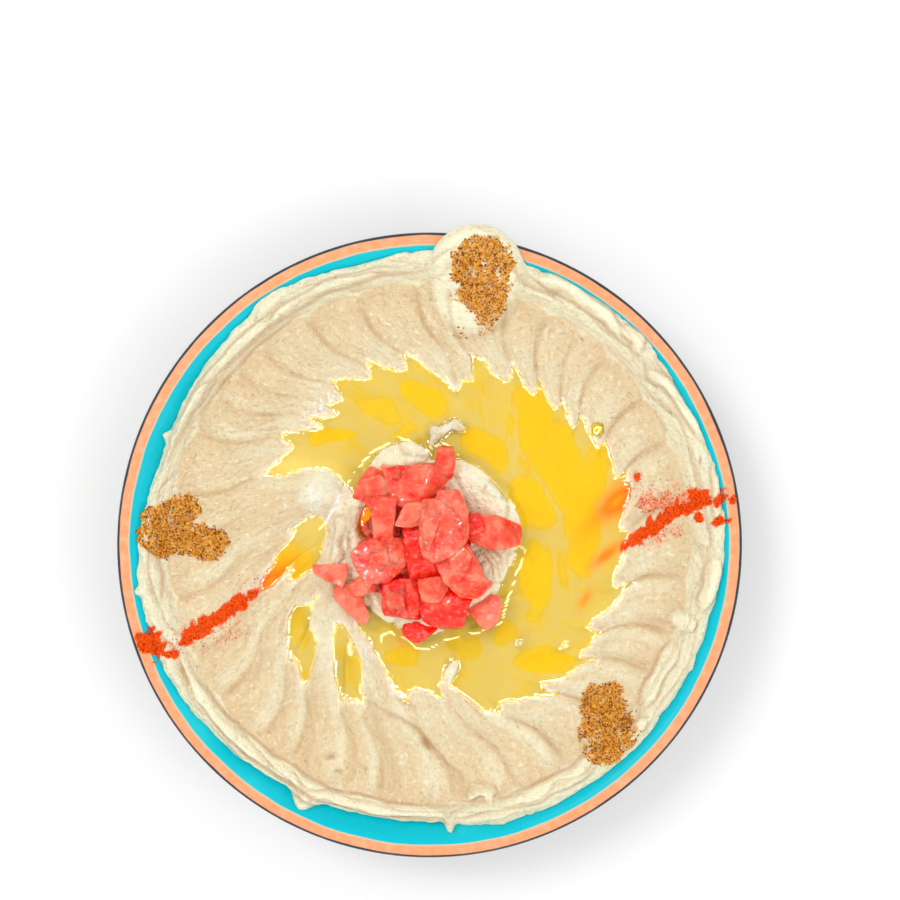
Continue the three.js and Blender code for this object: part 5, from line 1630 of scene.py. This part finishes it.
# %% Tree that sprinkles grains
def sprinkle_tree():
    """Node tree: patch with a cover attribute in, realized grains out."""
    tree = bpy.data.node_groups.new("sprinkle", "GeometryNodeTree")
    sockets = group_inputs(
        tree, Geometry=("Geometry",), Grains_per_square_metre=("Float", 1e6), Smallest=("Float", 0.0002),
        Largest=("Float", 0.0006), Stretch=("Float", 1.6), Seed=("Int", 1), Material=("Material",))
    given = tree.nodes.new("NodeGroupInput").outputs
    cover = add_node(tree, "GeometryNodeInputNamedAttribute", {"Name": "cover"}, data_type="FLOAT")
    density = maths(tree, "MULTIPLY", cover.outputs["Attribute"], given["Grains per square metre"])
    spots = add_node(tree, "GeometryNodeDistributePointsOnFaces",
                     {"Mesh": given["Geometry"], "Density": density, "Seed": given["Seed"]})

    def chance_value(shift, low, high):
        inputs = {2: low, 3: high, 8: maths(tree, "ADD", given["Seed"], shift)}
        return add_node(tree, "FunctionNodeRandomValue", inputs, data_type="FLOAT").outputs[1]

    def vector(**parts):
        return add_node(tree, "ShaderNodeCombineXYZ", parts).outputs[0]

    size = chance_value(1, given["Smallest"], given["Largest"])
    long = maths(tree, "MULTIPLY", size, chance_value(2, 1.0, given["Stretch"]))
    flat = maths(tree, "MULTIPLY", size, chance_value(3, 0.45, 0.9))
    scale = vector(X=long, Y=size, Z=flat)
    tips = [chance_value(shift, -0.6, 0.6) for shift in (4, 5)]
    turn = vector(X=tips[0], Y=tips[1], Z=chance_value(6, 0.0, math.tau))
    lift = vector(Z=maths(tree, "MULTIPLY", size, chance_value(7, 0.0, 0.7)))
    grain = add_node(tree, "GeometryNodeMeshIcoSphere", {"Radius": 0.5, "Subdivisions": 1}).outputs["Mesh"]
    raised = {"Geometry": spots.outputs["Points"], "Offset": lift}
    raised = add_node(tree, "GeometryNodeSetPosition", raised).outputs[0]
    placed = {"Points": raised, "Instance": grain, "Rotation": turn, "Scale": scale}
    placed = add_node(tree, "GeometryNodeInstanceOnPoints", placed).outputs[0]
    shade = {"Name": "shade", "Value": chance_value(8, 0.0, 1.0)}
    finish_tree(tree, placed, [
        ("StoreNamedAttribute", shade, {"data_type": "FLOAT", "domain": "INSTANCE"}),
        ("RealizeInstances", {}, {}), ("SetMaterial", {"Material": given["Material"]}, {}),
    ])
    return tree, sockets


SPRINKLE, SPRINKLE_SOCKETS = sprinkle_tree()
print("sprinkle inputs:", list(SPRINKLE_SOCKETS))

# %% Patch that a spice lies on
PATCH_STEP, THINNEST = 0.7, 0.01
SPICE_GAP = 0.05                           # between a patch and what lies under it
# On the bare glaze and the lip grains lie loose, so the patch counts more; past the lip none lie.
LOOSE_COVER, SPICE_REACH = 2.6, BOWL_RADIUS - 1.5


def table_top(x, y):
    """Height of whatever lies uppermost at a point: hummus, oil or the bowl's lip."""
    angle, r = np.degrees(np.arctan2(y, x)), np.hypot(x, y)
    edge = edge_radius(angle)
    top = np.where(r < edge, fine_height(angle, np.minimum(r, edge)), bowl_inside(np.minimum(r, BOWL_MOUTH)))
    top = np.where((r >= edge) & (r > BOWL_MOUTH), BOWL_HEIGHT, top)
    pool = (top < OIL_LEVEL) & (r < 80)
    return np.where(pool, OIL_LEVEL, top) + SPICE_GAP


def spice_patch(name, cover_at, areas):
    """A fine sheet over the areas (x0, y0, x1, y1) that holds how thickly spice lies."""
    points, faces, covers = [], [], []
    for x0, y0, x1, y1 in areas:
        xs, ys = np.meshgrid(np.arange(x0, x1, PATCH_STEP), np.arange(y0, y1, PATCH_STEP))
        r, edge = np.hypot(xs, ys), edge_radius(np.degrees(np.arctan2(ys, xs)))
        cover = cover_at(xs, ys) * np.where(r > edge, LOOSE_COVER, 1.0)
        cover[r > SPICE_REACH] = 0
        first = sum(len(p) for p in points)
        points.append(np.column_stack([xs.ravel(), ys.ravel(), table_top(xs, ys).ravel()]))
        covers.append(cover.ravel())
        count = xs.shape[1]
        for i, j in zip(*np.where(cover[:-1, :-1] > THINNEST)):
            a = first + i * count + j
            faces.append((a, a + 1, a + 1 + count, a + count))
    patch = new_object(name, np.concatenate(points), faces, OIL_MATERIAL)
    put_attribute(patch, "cover", np.concatenate(covers))
    return patch

# %% Spice materials
def spice_material(name, roughness, dark, middle, light):
    """Grains of one spice: each takes its own tone between three."""
    material, tree, shader = new_material(name)
    shade = attribute(tree, "shade")
    colour = mix_colour(tree, remap(tree, shade, 0.1, 0.45, smooth=False), dark, middle)
    colour = mix_colour(tree, remap(tree, shade, 0.6, 1.0, smooth=False), colour, light)
    fill_sockets(tree, shader, {"Base Color": colour, "Roughness": roughness, "Specular IOR Level": 0.1,
                                "Normal": bump(tree, mottle(tree, 0.3, 1.0), 0.05)})
    return material


CUMIN_TONES = ((0.20, 0.05, 0.004), (0.70, 0.24, 0.005), (1.0, 0.58, 0.09))
PAPRIKA_TONES = ((0.42, 0.02, 0.003), (1.0, 0.10, 0.001), (1.0, 0.17, 0.004))
# Cover, areas (x0, y0, x1, y1), grains per square millimetre, smallest and largest, stretch.
SPICES = {
    "cumin": dict(
        cover=cumin_cover, areas=[(0, 68, 34, 106), (-101, -10, -62, 22), (48, -80, 78, -44)],
        material=spice_material("ground_cumin", 0.7, *CUMIN_TONES),
        density=7.0, sizes=(0.36, 0.66), stretch=3.2),
    "paprika": dict(
        cover=paprika_cover, areas=[(-104, -44, -48, -6), (48, -26, 105, 28)],
        material=spice_material("ground_paprika", 0.6, *PAPRIKA_TONES),
        density=12.0, sizes=(0.25, 0.55), stretch=1.4),
}
print("spices:", list(SPICES))

# %% Sprinkle them
for seed, (name, spice) in enumerate(SPICES.items(), start=3):
    patch = spice_patch(name + "_patch", spice["cover"], spice["areas"])
    values = {"Grains per square metre": spice["density"] / MM ** 2, "Smallest": spice["sizes"][0] * MM,
              "Largest": spice["sizes"][1] * MM, "Stretch": spice["stretch"], "Seed": seed,
              "Material": spice["material"]}
    grains = run_tree(name + "_grains", SPRINKLE, SPRINKLE_SOCKETS, values, start=patch)
    finish_piece(grains, name)
